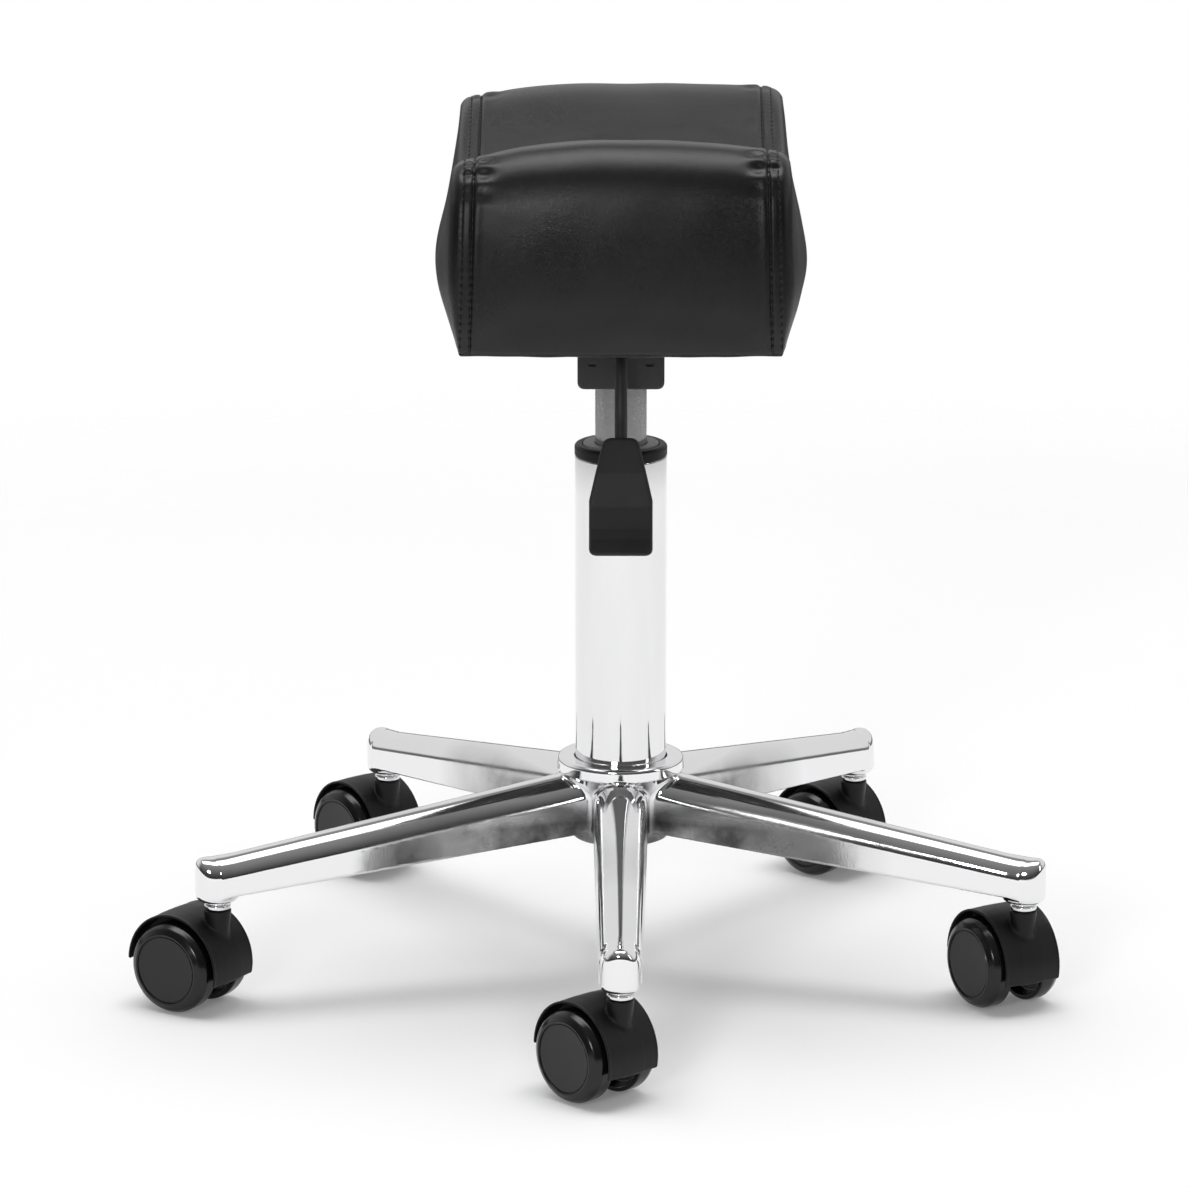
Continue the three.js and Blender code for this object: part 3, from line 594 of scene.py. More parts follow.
ARM_TURN = 2 * math.pi / len(PLACES)
RIDGE_ROOT, RIDGE_TIP = 116.5, 85.5  # height of an arm's ridge at its root and tip
TOP_ROOT, TOP_TIP = 14.4, 11.0  # half width of the round top
FOOT_ROOT, FOOT_TIP = 14.8, 11.6  # half width of the skirt
SKIRT_ROOT, SKIRT_TIP = 84.2, 65.0  # height of the foot of the skirt
ROOT_R, TIP_R = 35.0, 235.0  # radii at which those are given
ARM_WALL = 3.0
HUB_R, FLANGE_R = 26.9, 34.9
FLARE_Z, FLARE_HEIGHT = 103.0, 15.0  # the hub opens into its flange over this height
BOSS_R, BOSS_TOP = 12.0, 86.7  # the boss round a caster stem, under the end of the arm
HOLLOW_START = 34.6
HUB_BORE_R, HUB_BORE_TAPER = 24.5, 0.9  # at the foot of the hub, and how much it opens to the top
SOCKET_R = 5.9


def arm_field(r, side, z, inset=0.0):
    """One arm: flat-sided skirt under a half-round top, or the hollow in it with an inset."""
    reach = (r - ROOT_R) / (TIP_R - ROOT_R)
    ridge = RIDGE_ROOT + (RIDGE_TIP - RIDGE_ROOT) * reach - inset
    top = TOP_ROOT + (TOP_TIP - TOP_ROOT) * reach - inset
    foot = FOOT_ROOT + (FOOT_TIP - FOOT_ROOT) * reach - inset
    skirt = SKIRT_ROOT + (SKIRT_TIP - SKIRT_ROOT) * reach - (4 if inset else 0)
    spring = ridge - top
    level = np.clip((z - skirt) / (spring - skirt), 0, 1)
    dome = np.hypot(side, np.maximum(z - spring, 0)) - top
    wall = np.abs(side) - (foot + (top - foot) * level)
    return meet(np.where(z > spring, dome, wall), skirt - z, 1.6)


def cast_base():
    low, high = box_mm("star_base")
    hub_bottom, hub_top = 79.0, high[2]
    stem_low, stem_high = box_mm("caster_stem_front")
    stem_r = -(stem_low[1] + stem_high[1]) / 2
    socket_z = low[2]
    stem_top = stem_high[2]

    def field(x, y, z):
        rho = np.hypot(x, y)
        angle = np.arctan2(y, x) + math.pi / 2
        angle = np.mod(angle + ARM_TURN / 2, ARM_TURN) - ARM_TURN / 2
        r, side = rho * np.cos(angle), rho * np.sin(angle)

        flare = np.clip((z - FLARE_Z) / FLARE_HEIGHT, 0, 1) ** 2
        hub = (rho - (HUB_R + (FLANGE_R - HUB_R) * flare)) * 0.85
        hub = meet(hub, np.abs(z - (hub_bottom + hub_top) / 2) - (hub_top - hub_bottom) / 2, 2.6)
        arm = meet(arm_field(r, side, z), r - stem_r, 1.0)
        arm = meet(arm, 20 - r, 0.5)
        whole = join(hub, arm, 2.4)

        from_stem = np.hypot(r - stem_r, side)
        crown = np.hypot(side, np.maximum(z - (BOSS_TOP - BOSS_R), 0)) - BOSS_R
        post = from_stem - (BOSS_R - 2.2 * np.clip((66 - z) / (66 - socket_z), 0, 1) ** 2)
        tip = meet(meet(post, crown, 5.5), socket_z - z, 1.2)
        whole = join(whole, tip, 1.8)

        hollow = arm_field(r, side, z, ARM_WALL)
        ends = np.maximum(HOLLOW_START - r, r - (stem_r - 15))
        rib = 2 - np.abs(r - 120)
        hollow = meet(hollow, np.maximum(ends, rib), 1.5)
        whole = cut(whole, hollow, 1.0)
        bore = rho - (HUB_BORE_R + HUB_BORE_TAPER * np.clip((z - hub_bottom) / (hub_top - hub_bottom), 0, 1))
        whole = cut(whole, bore, 0.8)
        socket = np.maximum(from_stem - SOCKET_R, z - (stem_top + 0.4))
        return cut(whole, socket, 0.5)

    base = implicit("star_base_casting", field, low - 2, high + 2, 1.1)
    dress(base, "base", "polished_aluminium", "star_base")


# -------------------- gas lift

def gas_lift():
    low, high = box_mm("lift_outer_tube")
    outer_r = (high[0] - low[0]) / 2
    taper_top = 129.0
    inner_r = outer_r - 1.5
    profile = rounded([
        (5, low[2]), (outer_r - 1.1, low[2]), (outer_r, taper_top), (outer_r, high[2]),
        (inner_r, high[2]), (inner_r, low[2] + 4), (5, low[2] + 4),
    ], [0, 1.0, 3.0, 0.4, 0.4, 0.6, 0], closed=True)
    tube = turned("lift_outer_tube_chromed", profile, 128, closed=True)
    dress(tube, "base", "chrome", "lift_outer_tube")

    low, high = box_mm("guide_bush")
    cap_r = (high[0] - low[0]) / 2
    seat_z = high[2] - 6.3
    cover_r = 20.9
    profile = rounded([
        (14.4, seat_z - 40), (inner_r - 0.3, seat_z - 40), (inner_r - 0.3, seat_z), (cap_r, seat_z),
        (cap_r, high[2]), (cover_r, high[2]), (cover_r, high[2] - 2.1), (14.4, high[2] - 2.1),
    ], [0, 0.5, 0, 0.6, 3.2, 0.8, 0.2, 0], closed=True)
    bush = turned("guide_bush_moulding", profile, 128, closed=True)
    dress(bush, "base", "black_plastic", "guide_bush")

    low, high = box_mm("bush_cover")
    profile = rounded([(14.3, low[2]), (20.6, low[2]), (20.6, high[2]), (14.3, high[2])],
                      [0.2, 0.2, 0.7, 0.5], closed=True)
    cover = turned("bush_cover_disc", profile, 96, closed=True)
    dress(cover, "base", "grey_plastic", "bush_cover")

    low, high = box_mm("gas_cylinder")
    radius = (high[0] - low[0]) / 2
    profile = rounded([
        (12, low[2]), (radius, low[2]), (radius, high[2] - 20), (radius - 0.6, high[2]), (2.8, high[2]),
        (2.8, high[2] - 14), (12, high[2] - 14),
    ], [0, 1.0, 2.0, 0.8, 0.2, 0.2, 0.5], closed=True)
    cylinder = turned("gas_cylinder_ground", profile, 96, closed=True)
    dress(cylinder, "seat", "ground_steel", "gas_cylinder")


# -------------------- lever mechanism

HOUSING_WALL = 3.0
CLAMP_R, CLAMP_BORE_R = 18.0, 14.35  # the clamp socket that holds the top of the gas cylinder
DENT_X, DENT_Z = 15.5, 349.5  # the two small dents in the front wall


def mechanism():
    low, high = box_mm("mechanism_housing")
    centre, half = (low + high) / 2, (high - low) / 2
    slot_z = high[2] - 15

    def field(x, y, z):
        side = np.abs(x - centre[0]) - half[0]
        depth = np.abs(y - centre[1]) - half[1]
        block = meet(side, np.maximum(low[2] - z, z - high[2]), 4.2)
        block = meet(block, depth, 1.4)
        room = np.maximum(np.maximum(side, depth) + HOUSING_WALL, low[2] + HOUSING_WALL - z)
        block = cut(block, room, 0.6)
        socket = meet(np.hypot(x, y) - CLAMP_R, np.maximum(low[2] - z, z - (high[2] - 14.4)), 0.8)
        block = join(block, socket, 1.5)
        block = cut(block, np.hypot(x, y) - CLAMP_BORE_R, 0.6)
        slot = np.maximum(np.maximum(np.abs(x) - 5.5, slot_z - z), y + half[1] - 6)
        block = cut(block, slot, 0.8)
        left, right = (capsule(x + shift, y - low[1], z, DENT_Z, 0.9, 1.1) for shift in (DENT_X, -DENT_X))
        return cut(block, np.minimum(left, right), 0.5)

    housing = implicit("mechanism_housing_folded", field, low - 1.5, high + 1.5, 0.75)
    dress(housing, "seat", "black_steel", "mechanism_housing")


def swept_bar(name, path, across, thick, sides=20):
    """An oval bar along a path in the plane x = 0, with its half width and half thickness."""
    points = []
    path = np.array(path, float)
    for place, ahead in zip(path, headings(path)):
        up = np.array([0, -ahead[2], ahead[1]])
        for a in round_turn(sides):
            points.append(place + np.array([across * math.cos(a), 0, 0]) + up * thick * math.sin(a))
    rings = np.arange(len(points)).reshape(-1, sides).tolist()
    return mesh_object(name, points, skin(rings) + [rings[0][::-1], rings[-1]])


def smooth_path(points, steps):
    """Catmull-Rom curve through the points."""
    p = np.array(points, float)
    p = np.vstack([2 * p[0] - p[1], p, 2 * p[-1] - p[-2]])
    out = []
    for i in range(1, len(p) - 2):
        for k in range(steps):
            t = k / steps
            a, b, c, d = p[i - 1], p[i], p[i + 1], p[i + 2]
            out.append(0.5 * (2 * b + (c - a) * t + (2 * a - 5 * b + 4 * c - d) * t ** 2
                              + (3 * b - a - 3 * c + d) * t ** 3))
    return out + [p[-2]]


PADDLE_LEAN = 0.474


def lever():
    pin_low, pin_high = box_mm("lever_pivot_pin")
    pivot_z = (pin_low[2] + pin_high[2]) / 2
    rod_low, rod_high = box_mm("lever_rod")
    paddle_low, paddle_high = box_mm("lever_paddle")
    top_z = paddle_high[2] - 4.8 * math.sin(PADDLE_LEAN)
    top_y = paddle_high[1] - 4.8 * math.cos(PADDLE_LEAN)

    def down(distance):
        return (0, top_y - distance * math.sin(PADDLE_LEAN), top_z - distance * math.cos(PADDLE_LEAN))

    path = smooth_path([
        (0, rod_high[1], pivot_z), (0, -12, pivot_z), (0, -27, pivot_z), (0, -40, 358), (0, -49.5, 341),
        down(-12), down(-4), down(6), down(17),
    ], 10)
    bar = swept_bar("lever_rod_bent", path, 3.4, 3.1)
    dress(bar, "lever", "black_steel", "lever_rod")

    length, half_width, half_top, shoulder = 65.7, 17.0, 9.2, 34.0

    def field(x, y, z):
        depth = -z
        edge = np.interp(depth, [0, shoulder, length], [half_top, half_width, half_width])
        outline = (np.abs(x) - edge) * 0.96
        outline = meet(outline, np.maximum(-depth, depth - length), 4.5)
        front = np.interp(depth, [0, 20, 38, 50, 56, length], [4.8, 4.7, 2.7, 3.0, 4.4, 9.0])
        back = np.interp(depth, [0, 20, 38, 50, 56, length], [-4.8, -4.7, -1.2, -0.9, 0.6, 5.4])
        return meet(outline, meet(-y - front, y + back, 0.8), 2.0)

    place = Matrix.Translation((0, top_y * MM, top_z * MM)) @ Matrix.Rotation(-PADDLE_LEAN, 4, "X")
    paddle = implicit("lever_paddle_moulding", field, (-19, -11, -68), (19, 7, 2), 0.7, place)
    dress(paddle, "lever", "black_plastic", "lever_paddle", finish=PADDLE_PLASTIC)


# -------------------- casters

WHEEL_R = 25.0
WHEEL_OUTER_Y, WHEEL_RIM_Y, WHEEL_BOSS_Y = 23.2, 10.0, 7.5
TRAIL = 18.9
HOOD_R, HOOD_HALF_WIDTH, HOOD_FRONT_Z = 30.2, 17.6, 17.6
STEM_BOSS_Z, COLLAR_Z = 57.3, 57.6  # top of the boss of a hood, and foot of the collar above it
AXLE_R = 3.3


def caster_matrix(place):
    low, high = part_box("caster_stem_" + place)
    axis = JOINTS["wheel_spin_left_" + place]["axis"]
    angle = math.atan2(-axis[0], axis[1])
    middle = (low + high) / 2
    return Matrix.Translation((middle.x, middle.y, 0)) @ Matrix.Rotation(angle, 4, "Z")


def hood_mesh():
    """Hood, web and stem boss as one moulding, with its stem at the origin."""
    def field(x, y, z):
        dx, dz = x - TRAIL, z - WHEEL_R
        rho = np.hypot(dx, dz)
        from_edge = HOOD_HALF_WIDTH - np.abs(y)
        lip = 0.35 * np.exp(-(from_edge / 1.2) ** 2)
        crown = HOOD_R - 0.5 - 0.5 * (y / HOOD_HALF_WIDTH) ** 2 + lip
        shell = meet(rho - crown, HOOD_R - 2.1 - rho, 0.5)
        shell = meet(shell, -from_edge, 1.0)
        shell = meet(shell, np.where(dx > 0, -dz, HOOD_FRONT_Z - z), 1.6)
        web = meet(rho - 29, np.abs(y) - 6.8, 0.8)
        under = np.where(dx > 0, -dz - 1, HOOD_FRONT_Z - z)
        web = meet(web, np.minimum(under, rho - 9), 0.8)
        whole = join(shell, web, 1.2)
        boss_r = 7.5 - 1.6 * np.clip((STEM_BOSS_Z - z) / 17.3, 0, 1)
        boss = meet(np.hypot(x, y) - boss_r, np.maximum(z - STEM_BOSS_Z, 38 - z), 0.9)
        boss = meet(boss, 29.0 - rho, 0.6)
        whole = join(whole, boss, 1.6)
        whole = cut(whole, np.maximum(np.hypot(x, y) - 4.4, 33.8 - z), 0.4)
        return cut(whole, rho - AXLE_R, 0.4)

    return implicit("caster_hood_master", field, (-13.5, -19, 14), (51, 19, 59), 0.62)


def wheel_mesh():
    """The wheel on the +Y side: dished disc, fine ring groove, glossy round rim and flat tread."""
    outer, rim = WHEEL_OUTER_Y, WHEEL_RIM_Y
    profile = rounded([
        (0, outer - 1.1), (18.0, outer - 0.5), (18.3, outer - 0.9), (18.7, outer - 0.9), (19.0, outer - 0.1),
        (19.9, outer), (23.0, outer - 1.7), (WHEEL_R, outer - 5.2), (WHEEL_R, rim + 0.2), (22.6, rim),
        (20.6, 15.5), (8, 15.5), (7, WHEEL_BOSS_Y), (AXLE_R, WHEEL_BOSS_Y), (AXLE_R, outer - 3.2),
        (0, outer - 3.2),
    ], [0, 0.1, 0.1, 0.1, 0.3, 1.6, 3.6, 4.4, 0.9, 0.4, 1.0, 1.0, 0.4, 0.3, 0.3, 0], arc_steps=8)
    return turned("wheel_master", profile, 72, matrix=Matrix.Rotation(-math.pi / 2, 4, "X"))


def copy_of(master, name, matrix):
    obj = placed(name, master.data.copy())
    obj.data.name = name
    obj.data.transform(matrix)
    return obj


def casters():
    hood, wheel = hood_mesh(), wheel_mesh()
    axle_place = Matrix.Translation((TRAIL * MM, 0, WHEEL_R * MM))
    turn_over = Matrix.Rotation(math.pi, 4, "Z")
    low, high = box_mm("caster_stem_front")
    collar_top = COLLAR_Z + 2.8
    profile = rounded([
        (0, low[2]), (4, low[2]), (4, COLLAR_Z), (7.2, COLLAR_Z), (7.2, collar_top), (5.5, collar_top),
        (5.5, high[2]), (0, high[2]),
    ], [0, 0.5, 0.3, 1.1, 1.1, 0.4, 0.8, 0])
    stem = turned("stem_master", profile, 48)
    for place in PLACES:
        matrix = caster_matrix(place)
        piece = copy_of(hood, "caster_hood_moulding_" + place, matrix)
        dress(piece, "caster_" + place, "black_plastic", "caster_hood_" + place)
        for side, turn in (("left", Matrix.Identity(4)), ("right", turn_over)):
            piece = copy_of(wheel, f"wheel_moulding_{side}_{place}", matrix @ axle_place @ turn)
            node = f"wheel_{side}_{place}"
            dress(piece, node, "wheel_plastic", node)
        piece = copy_of(stem, "caster_stem_plated_" + place, matrix)
        dress(piece, "base", "chrome", "caster_stem_" + place)
    for master in (hood, wheel, stem):
        bpy.data.objects.remove(master)


# -------------------- saddle

HEM_Z = 374.6  # where the cover turns under the board
SEAM_X = 77.0
BAND = 5.2  # seam allowance pressed flat outside each seam, between two rows of stitches
RIDGE_Y, RIDGE_Z, DIP = 90.0, 483.0, 25.0
SIDE_BULGE = 5.6
SPLAY = 0.035  # how much wider the foot of the cover is than its top
BELLY, BELLY_HEIGHT = 9.2, 0.26  # extra fullness low on a side panel, and its place as a share of the height
CORNER_RUN = 107.0  # along the cover from its front hem to where it turns over the ridge
STITCH_PITCH, STITCH_LENGTH, THREAD_R = 4.2, 3.3, 0.36
FILL_CAP = 3.2  # how far filling may move the cover
WELT_R = 1.15  # of the roll round the foot of the cover


def distance_along(line):
    return np.concatenate([[0], np.cumsum(np.linalg.norm(np.diff(line, axis=0), axis=1))])


def sampled(line, walked, at):
    """The rows of a line at some distances along it."""
    return np.stack([np.interp(at, walked, column) for column in line.T], axis=1)


def inward_of(ring, reach):
    """Unit vectors square to a closed ring of (x, y) points, towards its inside."""
    tangent = np.roll(ring, -reach, axis=0) - np.roll(ring, reach, axis=0)
    inward = np.stack([-tangent[:, 1], tangent[:, 0]], axis=1)
    inward /= np.linalg.norm(inward, axis=1, keepdims=True)
    return inward * np.sign(-(inward * ring).sum(1, keepdims=True))


def saddle_outline(steps):
    """Evenly spaced (y, z) along the middle of the cover from hem to hem, with outward normals."""
    front = [(-113.4, HEM_Z), (-115.4, 388), (-116.8, 405), (-117.2, 425), (-116.6, 443), (-114.2, 459),
             (-108.4, 471.6), (-99.6, 480), (-RIDGE_Y, RIDGE_Z)]
    valley = [(y, RIDGE_Z - DIP / 2 * (1 + math.cos(math.pi * y / RIDGE_Y))) for y in range(-75, 1, 15)]
    half = front + valley
    dense = np.array(smooth_path(half + [(-y, z) for y, z in half[-2::-1]], 24))
    walked = distance_along(dense)
    even = np.linspace(0, walked[-1], steps + 1)
    line = sampled(dense, walked, even)
    ahead = headings(line)
    return line, np.stack([-ahead[:, 1], ahead[:, 0]], axis=1), even


def seam_pull(line, normal, side):
    """How far the cover is drawn in at the seam on one side (-1 or 1), below the middle of the panel."""
    upward = np.clip(normal[:, 1], 0, 1)
    front, rear = (9.6, 6.4) if side < 0 else (5.0, 1.6)
    top = front + (rear - front) * (line[:, 0] + RIDGE_Y) / (2 * RIDGE_Y)
    return 2.6 * (1 - upward) + np.clip(top, 1, 12) * upward


def side_panel(rim, corner):
    """A film stretched over the rim of a side panel and swollen outwards, as a grid of points."""
    front, top, rear = rim[:corner + 1], rim[corner:-corner], rim[-corner - 1:][::-1]
    columns = len(top)
    share = np.linspace(0, 1, columns)[:, None]
    grid = np.zeros((columns, corner + 1, 3))
    grid[:, 0] = front[0] + (rear[0] - front[0]) * share
    grid[:, -1] = top
    grid[0], grid[-1] = front, rear

    def eigen(count):
        return np.linalg.eigh(2 * np.eye(count) - np.eye(count, k=1) - np.eye(count, k=-1))

    load = np.zeros((columns - 2, corner - 1, 3))
    load[0] += grid[0, 1:-1]
    load[-1] += grid[-1, 1:-1]
    load[:, 0] += grid[1:-1, 0]
    load[:, -1] += grid[1:-1, -1]
    side = np.sign(front[0, 0])
    load[..., 0] += side * SIDE_BULGE * 7.0 / corner ** 2
    value_a, vector_a = eigen(columns - 2)
    value_b, vector_b = eigen(corner - 1)
    for k in range(3):
        part = vector_a.T @ load[..., k] @ vector_b / (value_a[:, None] + value_b[None, :])
        grid[1:-1, 1:-1, k] = vector_a @ part @ vector_b.T
    height = np.linspace(0, 1, corner + 1)
    belly = hump(height - BELLY_HEIGHT, 0.34) * (1 - height ** 8)
    grid[..., 0] += side * BELLY * belly * 4 * share * (1 - share)
    return grid


def saddle_cover(u_steps, across, ribbon):
    """Grid of the cover above its hem. For each point also how far it is along its seam, and out
    from that seam: less than 0 on the main panel, 99 on the inner part of a side panel."""
    line, normal, along = saddle_outline(u_steps)
    corner = round(u_steps * CORNER_RUN / along[-1])
    patches = []

    def patch(points, run, out):
        shape = points.shape[:2]
        patches.append((points, np.broadcast_to(run, shape), np.broadcast_to(out, shape)))

    def moved_in(amount):
        """The outline moved towards its inside: a column of y and a column of z."""
        return line[:, :1] - normal[:, :1] * amount, line[:, 1:] - normal[:, 1:] * amount

    x = np.array(across)[None, :]
    pull = np.where(x < 0, seam_pull(line, normal, -1)[:, None], seam_pull(line, normal, 1)[:, None])
    pull = pull * np.abs(x / SEAM_X) ** 2.5
    y, z = moved_in(pull)
    patch(np.stack([np.broadcast_to(x, pull.shape), y, z], axis=2), along[:, None], np.abs(x) - SEAM_X)
    for side in (-1, 1):
        pull = seam_pull(line, normal, side)[:, None]
        v = np.array(ribbon)[None, :]
        turn = math.radians(8) + math.radians(64) * np.clip(v - BAND, 0, 99) / (ribbon[-1] - BAND)
        per_turn = (ribbon[-1] - BAND) / math.radians(64)
        inset = 0.14 * np.minimum(v, BAND) + per_turn * (math.cos(math.radians(8)) - np.cos(turn))
        y, z = moved_in(pull + inset)
        past = per_turn * (np.sin(turn) - math.sin(math.radians(8)))
        low = 1 - (1 - np.clip((z - HEM_Z + 3) / 42, 0, 1)) ** 1.8
        reach = SEAM_X + np.minimum(v, BAND) + past * low
        points = np.stack([side * reach, y, z], axis=2)
        patch(points, along[:, None], v)
        patch(side_panel(points[:, -1], corner), np.zeros((1, 1)), np.full((1, 1), 99.0))

    faces, start = [], 0
    for grid, _, _ in patches:
        rows, columns = grid.shape[:2]
        index = start + np.arange(rows * columns).reshape(rows, columns)
        quads = [index[:-1, :-1], index[1:, :-1], index[1:, 1:], index[:-1, 1:]]
        faces.append(np.stack(quads, axis=-1).reshape(-1, 4))
        start += rows * columns
    faces = np.concatenate(faces)
    points = np.concatenate([part[0].reshape(-1, 3) for part in patches])
    run, out = (np.concatenate([part[k].reshape(-1) for part in patches]) for k in (1, 2))
    points[:, 0] *= 1 + SPLAY * np.clip(1 - (points[:, 2] - HEM_Z) / (RIDGE_Z - HEM_Z), 0, 1)
    _, first, same = np.unique(points.round(3), axis=0, return_index=True, return_inverse=True)
    return points[first], same.reshape(-1)[faces], run[first], out[first]


def rim_loop(faces):
    """The open rim of a grid, in order."""
    edges = np.concatenate([faces[:, [k, (k + 1) % 4]] for k in range(4)])
    _, first, count = np.unique(np.sort(edges, axis=1), axis=0, return_index=True, return_counts=True)
    beside = {}
    for a, b in edges[first[count == 1]].tolist():
        beside.setdefault(a, []).append(b)
        beside.setdefault(b, []).append(a)
    loop = [min(beside)]
    loop.append(beside[loop[0]][0])
    while True:
        following = [n for n in beside[loop[-1]] if n != loop[-2]][0]
        if following == loop[0]:
            return loop
        loop.append(following)


def turn_under(points, faces):
    """Rolls the rim under, takes it up round the board and closes it above the board."""
    last = rim_loop(faces)
    flat = points[last][:, :2]
    inward = inward_of(flat, 3)
    all_points, all_faces, start = [points], [faces.tolist()], len(points)
    roll = ((0.5, HEM_Z - 0.8), (1.6, HEM_Z - 1.1), (3.2, HEM_Z - 1.0), (4.4, HEM_Z + 1), (4.6, 388.4))
    for inset, z in roll:
        all_points.append(np.column_stack([flat + inward * inset, np.full(len(last), z)]))
        ids = list(range(start, start + len(last)))
        start += len(last)
        all_faces.append([[last[i], last[i - 1], ids[i - 1], ids[i]] for i in range(len(last))])
        last = ids
    all_faces.append([last])
    return np.concatenate(all_points), [face for group in all_faces for face in group]


def closed_object(name, points_mm, faces):
    """A mesh object whose faces all look outwards."""
    obj = mesh_object(name, points_mm, faces)
    b = bmesh.new()
    b.from_mesh(obj.data)
    bmesh.ops.recalc_face_normals(b, faces=b.faces)
    b.to_mesh(obj.data)
    b.free()
    return obj


def read(collection, name):
    values = np.empty(len(collection) * 3)
    collection.foreach_get(name, values)
    return values.reshape(-1, 3)


def filled(points, faces, cover_count, seam):
    """How far the points of a closed cover move when a cloth simulation fills it out."""
    obj = closed_object("cover_being_filled", points, faces)
    group = obj.vertex_groups.new(name="held")
    group.add(list(range(cover_count, len(points))), 1.0, "REPLACE")
    group.add([int(i) for i in seam], 0.5, "REPLACE")
    cloth = obj.modifiers.new("filling", "CLOTH")
    settings = cloth.settings
    settings.quality = 8
    settings.mass = 0.3
    settings.tension_stiffness = settings.compression_stiffness = 18
    settings.shear_stiffness = 8
    settings.bending_stiffness = 1.5
    settings.use_pressure = True
    settings.uniform_pressure_force = 4
    settings.shrink_min = 0.002
    settings.effector_weights.gravity = 0
    settings.vertex_group_mass = "held"
    cloth.point_cache.frame_start, cloth.point_cache.frame_end = 1, 20
    scene = bpy.context.scene
    for step in range(1, 21):
        scene.frame_set(step)
    shaped = obj.evaluated_get(bpy.context.evaluated_depsgraph_get()).to_mesh()
    move = read(shaped.vertices, "co") / MM - points
    scene.frame_set(1)
    bpy.data.objects.remove(obj)
    length = np.linalg.norm(move, axis=1, keepdims=True)
    return move * np.minimum(1, FILL_CAP / np.maximum(length, 1e-9))


def spread(points, from_points, moves, reach=7.0):
    """Smoothly carries the moves of a coarse set of points to a fine one."""
    tree = KDTree(len(from_points))
    for i, point in enumerate(from_points):
        tree.insert(point, i)
    tree.balance()
    out = np.zeros_like(points)
    for i, point in enumerate(points):
        near = tree.find_n(point, 14)
        index = [n[1] for n in near]
        weight = np.exp(-(np.array([n[2] for n in near]) / reach) ** 2)
        out[i] = weight @ moves[index] / weight.sum()
    return out


def hump(value, width):
    return np.exp(-(value / width) ** 2)


def step_up(value, low, high):
    t = np.clip((value - low) / (high - low), 0, 1)
    return t * t * (3 - 2 * t)


def sewn_relief(points, run, out, total):
    """Height of the sewing over the filled cover: seams, seam allowance, puckers, pleats, slack."""
    x, y, z = points.T
    seam = -0.8 * hump(out, 0.6) + 0.4 * hump(out + 2.6, 1.9)
    allowance = 0.35 * (step_up(out, 0.2, 1.4) - step_up(out, BAND - 0.7, BAND + 0.5))
    second = -0.15 * hump(out - BAND, 0.5)
    dents = -0.35 * np.cos(math.pi * run / STITCH_PITCH) ** 2 * (hump(out, 1.2) + hump(out - BAND, 0.9))
    puckers = np.zeros(len(points))
    for corner, phase in ((CORNER_RUN, 0.0), (total - CORNER_RUN, 1.1)):
        s = run - corner - np.sign(x) * 1.5
        gather = hump(s, 19) * np.cos(2 * math.pi * s / 13.0 + phase)
        puckers += gather * (1.25 * hump(out + 5.5, 4.5) + 0.7 * hump(out - 3.2, 2.6))
        puckers -= 0.9 * hump(s + 4.5, 1.4) * hump(out - 3.0, 3.0)
    from_corner = np.minimum(run, total - run) - CORNER_RUN
    pleats = 0.5 * np.maximum(0, np.sin(2 * math.pi * (run + 0.7 * out) / 3.4)) * hump(out - 8.6, 2.3)
    pleats *= step_up(from_corner, 28, 44)  # only in the valley of the saddle
    slack = 0.4 * np.sin(x / 15 + 1.3) * np.sin(y / 21 + 0.4)
    slack += 0.3 * np.sin(x / 9 + z / 14 + 2) * np.sin(y / 12)
    slack += 0.25 * np.sin(x / 6.1 - z / 10.3 + 0.7)
    slack *= 0.35 + 0.65 * step_up(np.abs(x), SEAM_X, SEAM_X + 8)
    return seam + allowance + second + dents + puckers + pleats + slack * step_up(z, HEM_Z, HEM_Z + 18)


def stitches(name, rows):
    """Short lengths of thread along rows of (points, normals)."""
    points, faces = [], []
    sides, lengths = 6, 5
    angles = round_turn(sides)[:, None]
    for line, normals in rows:
        walked = distance_along(line)
        for start in np.arange(1.0, walked[-1] - STITCH_PITCH, STITCH_PITCH):
            at = np.linspace(start, start + STITCH_LENGTH, lengths)
            path, up = sampled(line, walked, at), sampled(normals, walked, at)
            side = np.cross(headings(path), up)
            rings = len(points) + np.arange(lengths * sides).reshape(lengths, sides)
            for i, to_end in enumerate(np.linspace(-1, 1, lengths) ** 4):
                thick = THREAD_R * (1 - 0.7 * to_end)
                centre = path[i] + up[i] * (0.25 - 0.6 * to_end)
                points.extend(centre + side[i] * thick * np.cos(angles) + up[i] * thick * np.sin(angles))
            rings = rings.tolist()
            faces += skin(rings) + [rings[0][::-1], rings[-1]]
    return closed_object(name, points, faces)


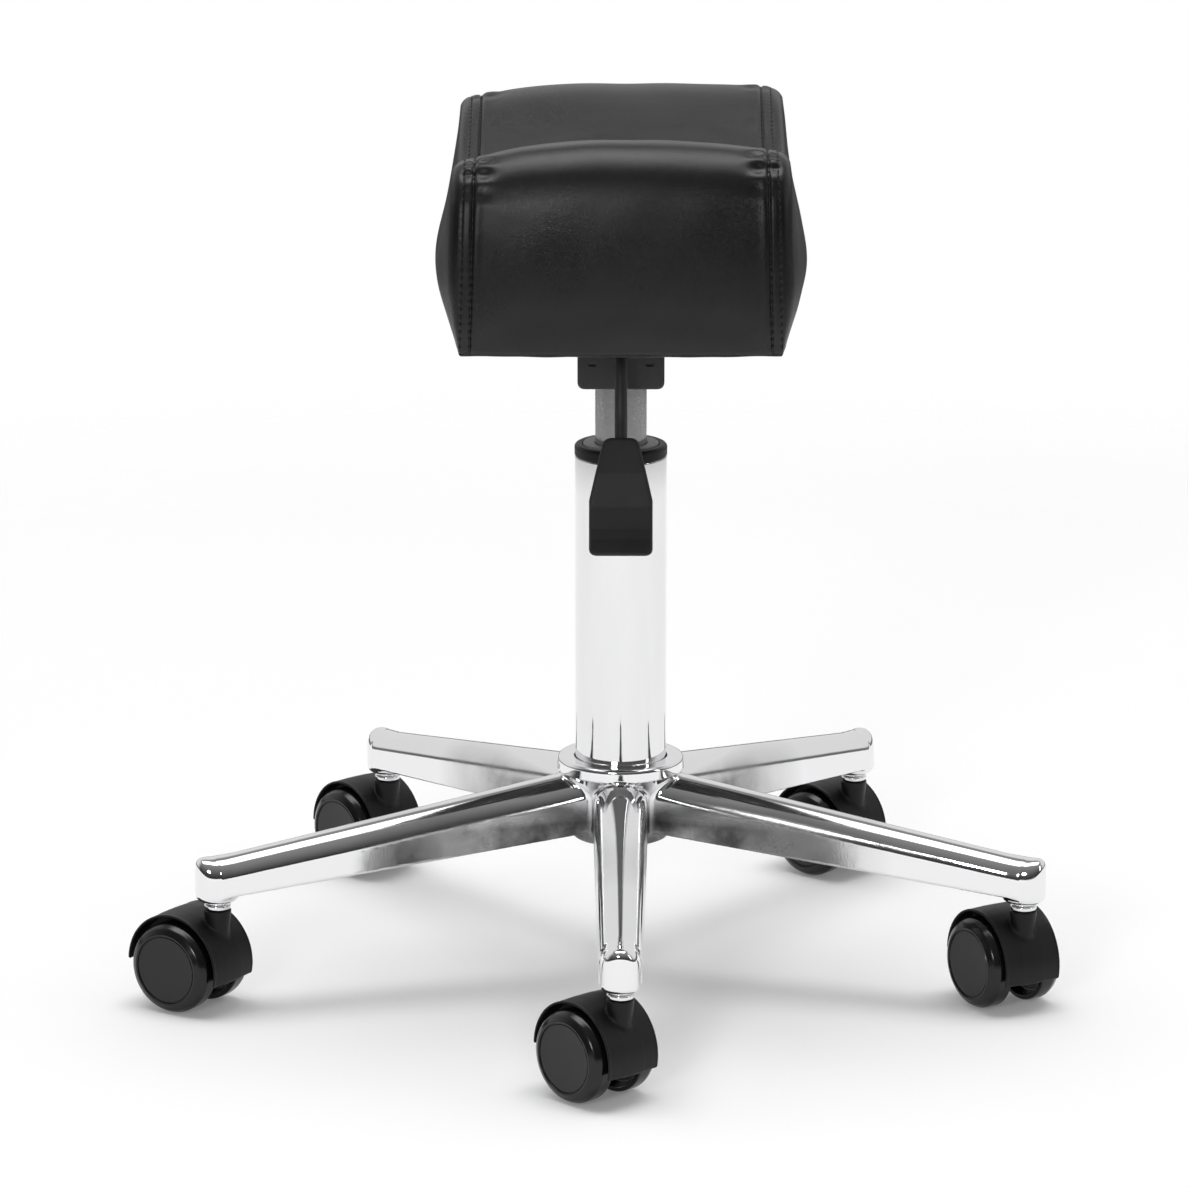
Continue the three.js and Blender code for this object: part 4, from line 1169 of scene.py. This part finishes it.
def hem(outline):
    """The welt round the foot of the cover, and the edge of the cover folded under the board."""
    looped = np.vstack([outline, outline[:1]])
    walked = distance_along(looped)
    ring_count = 260
    at = np.linspace(0, walked[-1], ring_count, endpoint=False)
    ring = sampled(looped, walked, at)
    inward = inward_of(ring, 2)
    wobble = 0.3 * np.sin(at / 7.3) + 0.25 * np.sin(at / 3.9 + 1) + 0.2 * np.sin(at / 17 + 2)
    plate_low, plate_high = box_mm("mounting_plate")
    half_x, half_y = plate_high[0] + 3, plate_high[1] + 9
    near = ring / ((np.abs(ring[:, :1] / half_x) ** 10 + np.abs(ring[:, 1:] / half_y) ** 10) ** 0.1)

    points = []
    sides = 10
    for a in round_turn(sides):
        shift = 1.8 - WELT_R * math.cos(a)
        z = HEM_Z - 1.0 + 0.35 * wobble + WELT_R * math.sin(a)
        points.append(np.column_stack([ring + inward * (shift + 0.3 * wobble[:, None]), z]))
    shares = np.concatenate([[0, 0.02], np.linspace(0.06, 0.94, 14), [0.98, 1]])
    start = ring + inward * 2.2
    crinkle = 0.3 * np.sin(at / 3.1) + 0.25 * np.sin(at / 5.3 + 2)
    for share in list(shares) + list(shares[::-1]):
        z = np.full(ring_count, HEM_Z + 0.1)
        if len(points) < sides + len(shares):  # the side that faces the floor
            z = HEM_Z - 1.05 + 0.25 * crinkle * math.sin(math.pi * share) + (0.35 if share in (0, 1) else 0)
        points.append(np.column_stack([start + (near - start) * share, z]))
    rings = np.arange(len(points) * ring_count).reshape(-1, ring_count).tolist()
    faces = skin(rings[:sides], True) + skin(rings[sides:], True)
    return closed_object("cover_hem_folded", np.concatenate(points), faces)


def saddle():
    edge = [0, 0.45, 0.9, 1.4, 2.0, 2.8, 3.8, 5.0, 6.4, 8.2, 10.4, 13.0, 16.2]
    middle = np.linspace(-SEAM_X + 20, SEAM_X - 20, 32)
    across = np.concatenate([-SEAM_X + np.array(edge), middle, SEAM_X - np.array(edge[::-1])])
    ribbon = [0, 0.5, 1.0, 1.6, 2.4, 3.2, 4.0, 4.6, BAND, 5.8, 6.5, 7.4, 8.4, 9.5, 10.8, 12.2, 14.0]
    rim_points, rim_faces, run, out = saddle_cover(320, across, ribbon)
    cover_count = len(rim_points)
    points, faces = turn_under(rim_points, rim_faces)
    outline = rim_points[rim_loop(rim_faces)][:, :2]

    columns = np.linspace(-SEAM_X, SEAM_X, 27)
    coarse, coarse_faces, _, coarse_out = saddle_cover(76, columns, [0, BAND, 14.0])
    count = len(coarse)
    coarse, coarse_faces = turn_under(coarse, coarse_faces)
    on_seam = np.flatnonzero(np.abs(coarse_out) < 0.01)
    moves = filled(coarse, coarse_faces, count, on_seam)
    above = step_up(points[:cover_count, 2:], HEM_Z, HEM_Z + 24)
    points[:cover_count] += above * spread(points[:cover_count], coarse, moves)

    pad = closed_object("saddle_pad", points, faces)
    normals = read(pad.data.vertex_normals, "vector")[:cover_count]
    total = run.max()
    relief = sewn_relief(points[:cover_count], run, out, total)
    points[:cover_count] += normals * relief[:, None]
    pad.data.vertices.foreach_set("co", (points * MM).ravel())
    pad.data.update()
    dress(pad, "seat", "leather", "seat_pad")

    normals = read(pad.data.vertex_normals, "vector")
    rows = []
    for side in (-1, 1):
        for distance in (0, BAND):
            row = np.flatnonzero((np.abs(out - distance) < 0.01) & (np.sign(rim_points[:, 0]) == side))
            row = row[np.argsort(run[row])]
            rows.append((points[row], normals[row]))
    dress(stitches("seam_stitches", rows), "seat", "leather", finish=THREAD)
    dress(hem(outline), "seat", "leather", "cover_hem")


# -------------------- run

make_camera()
make_stage()
dress_cad_nodes()
cast_base()
gas_lift()
mechanism()
lever()
casters()
saddle()
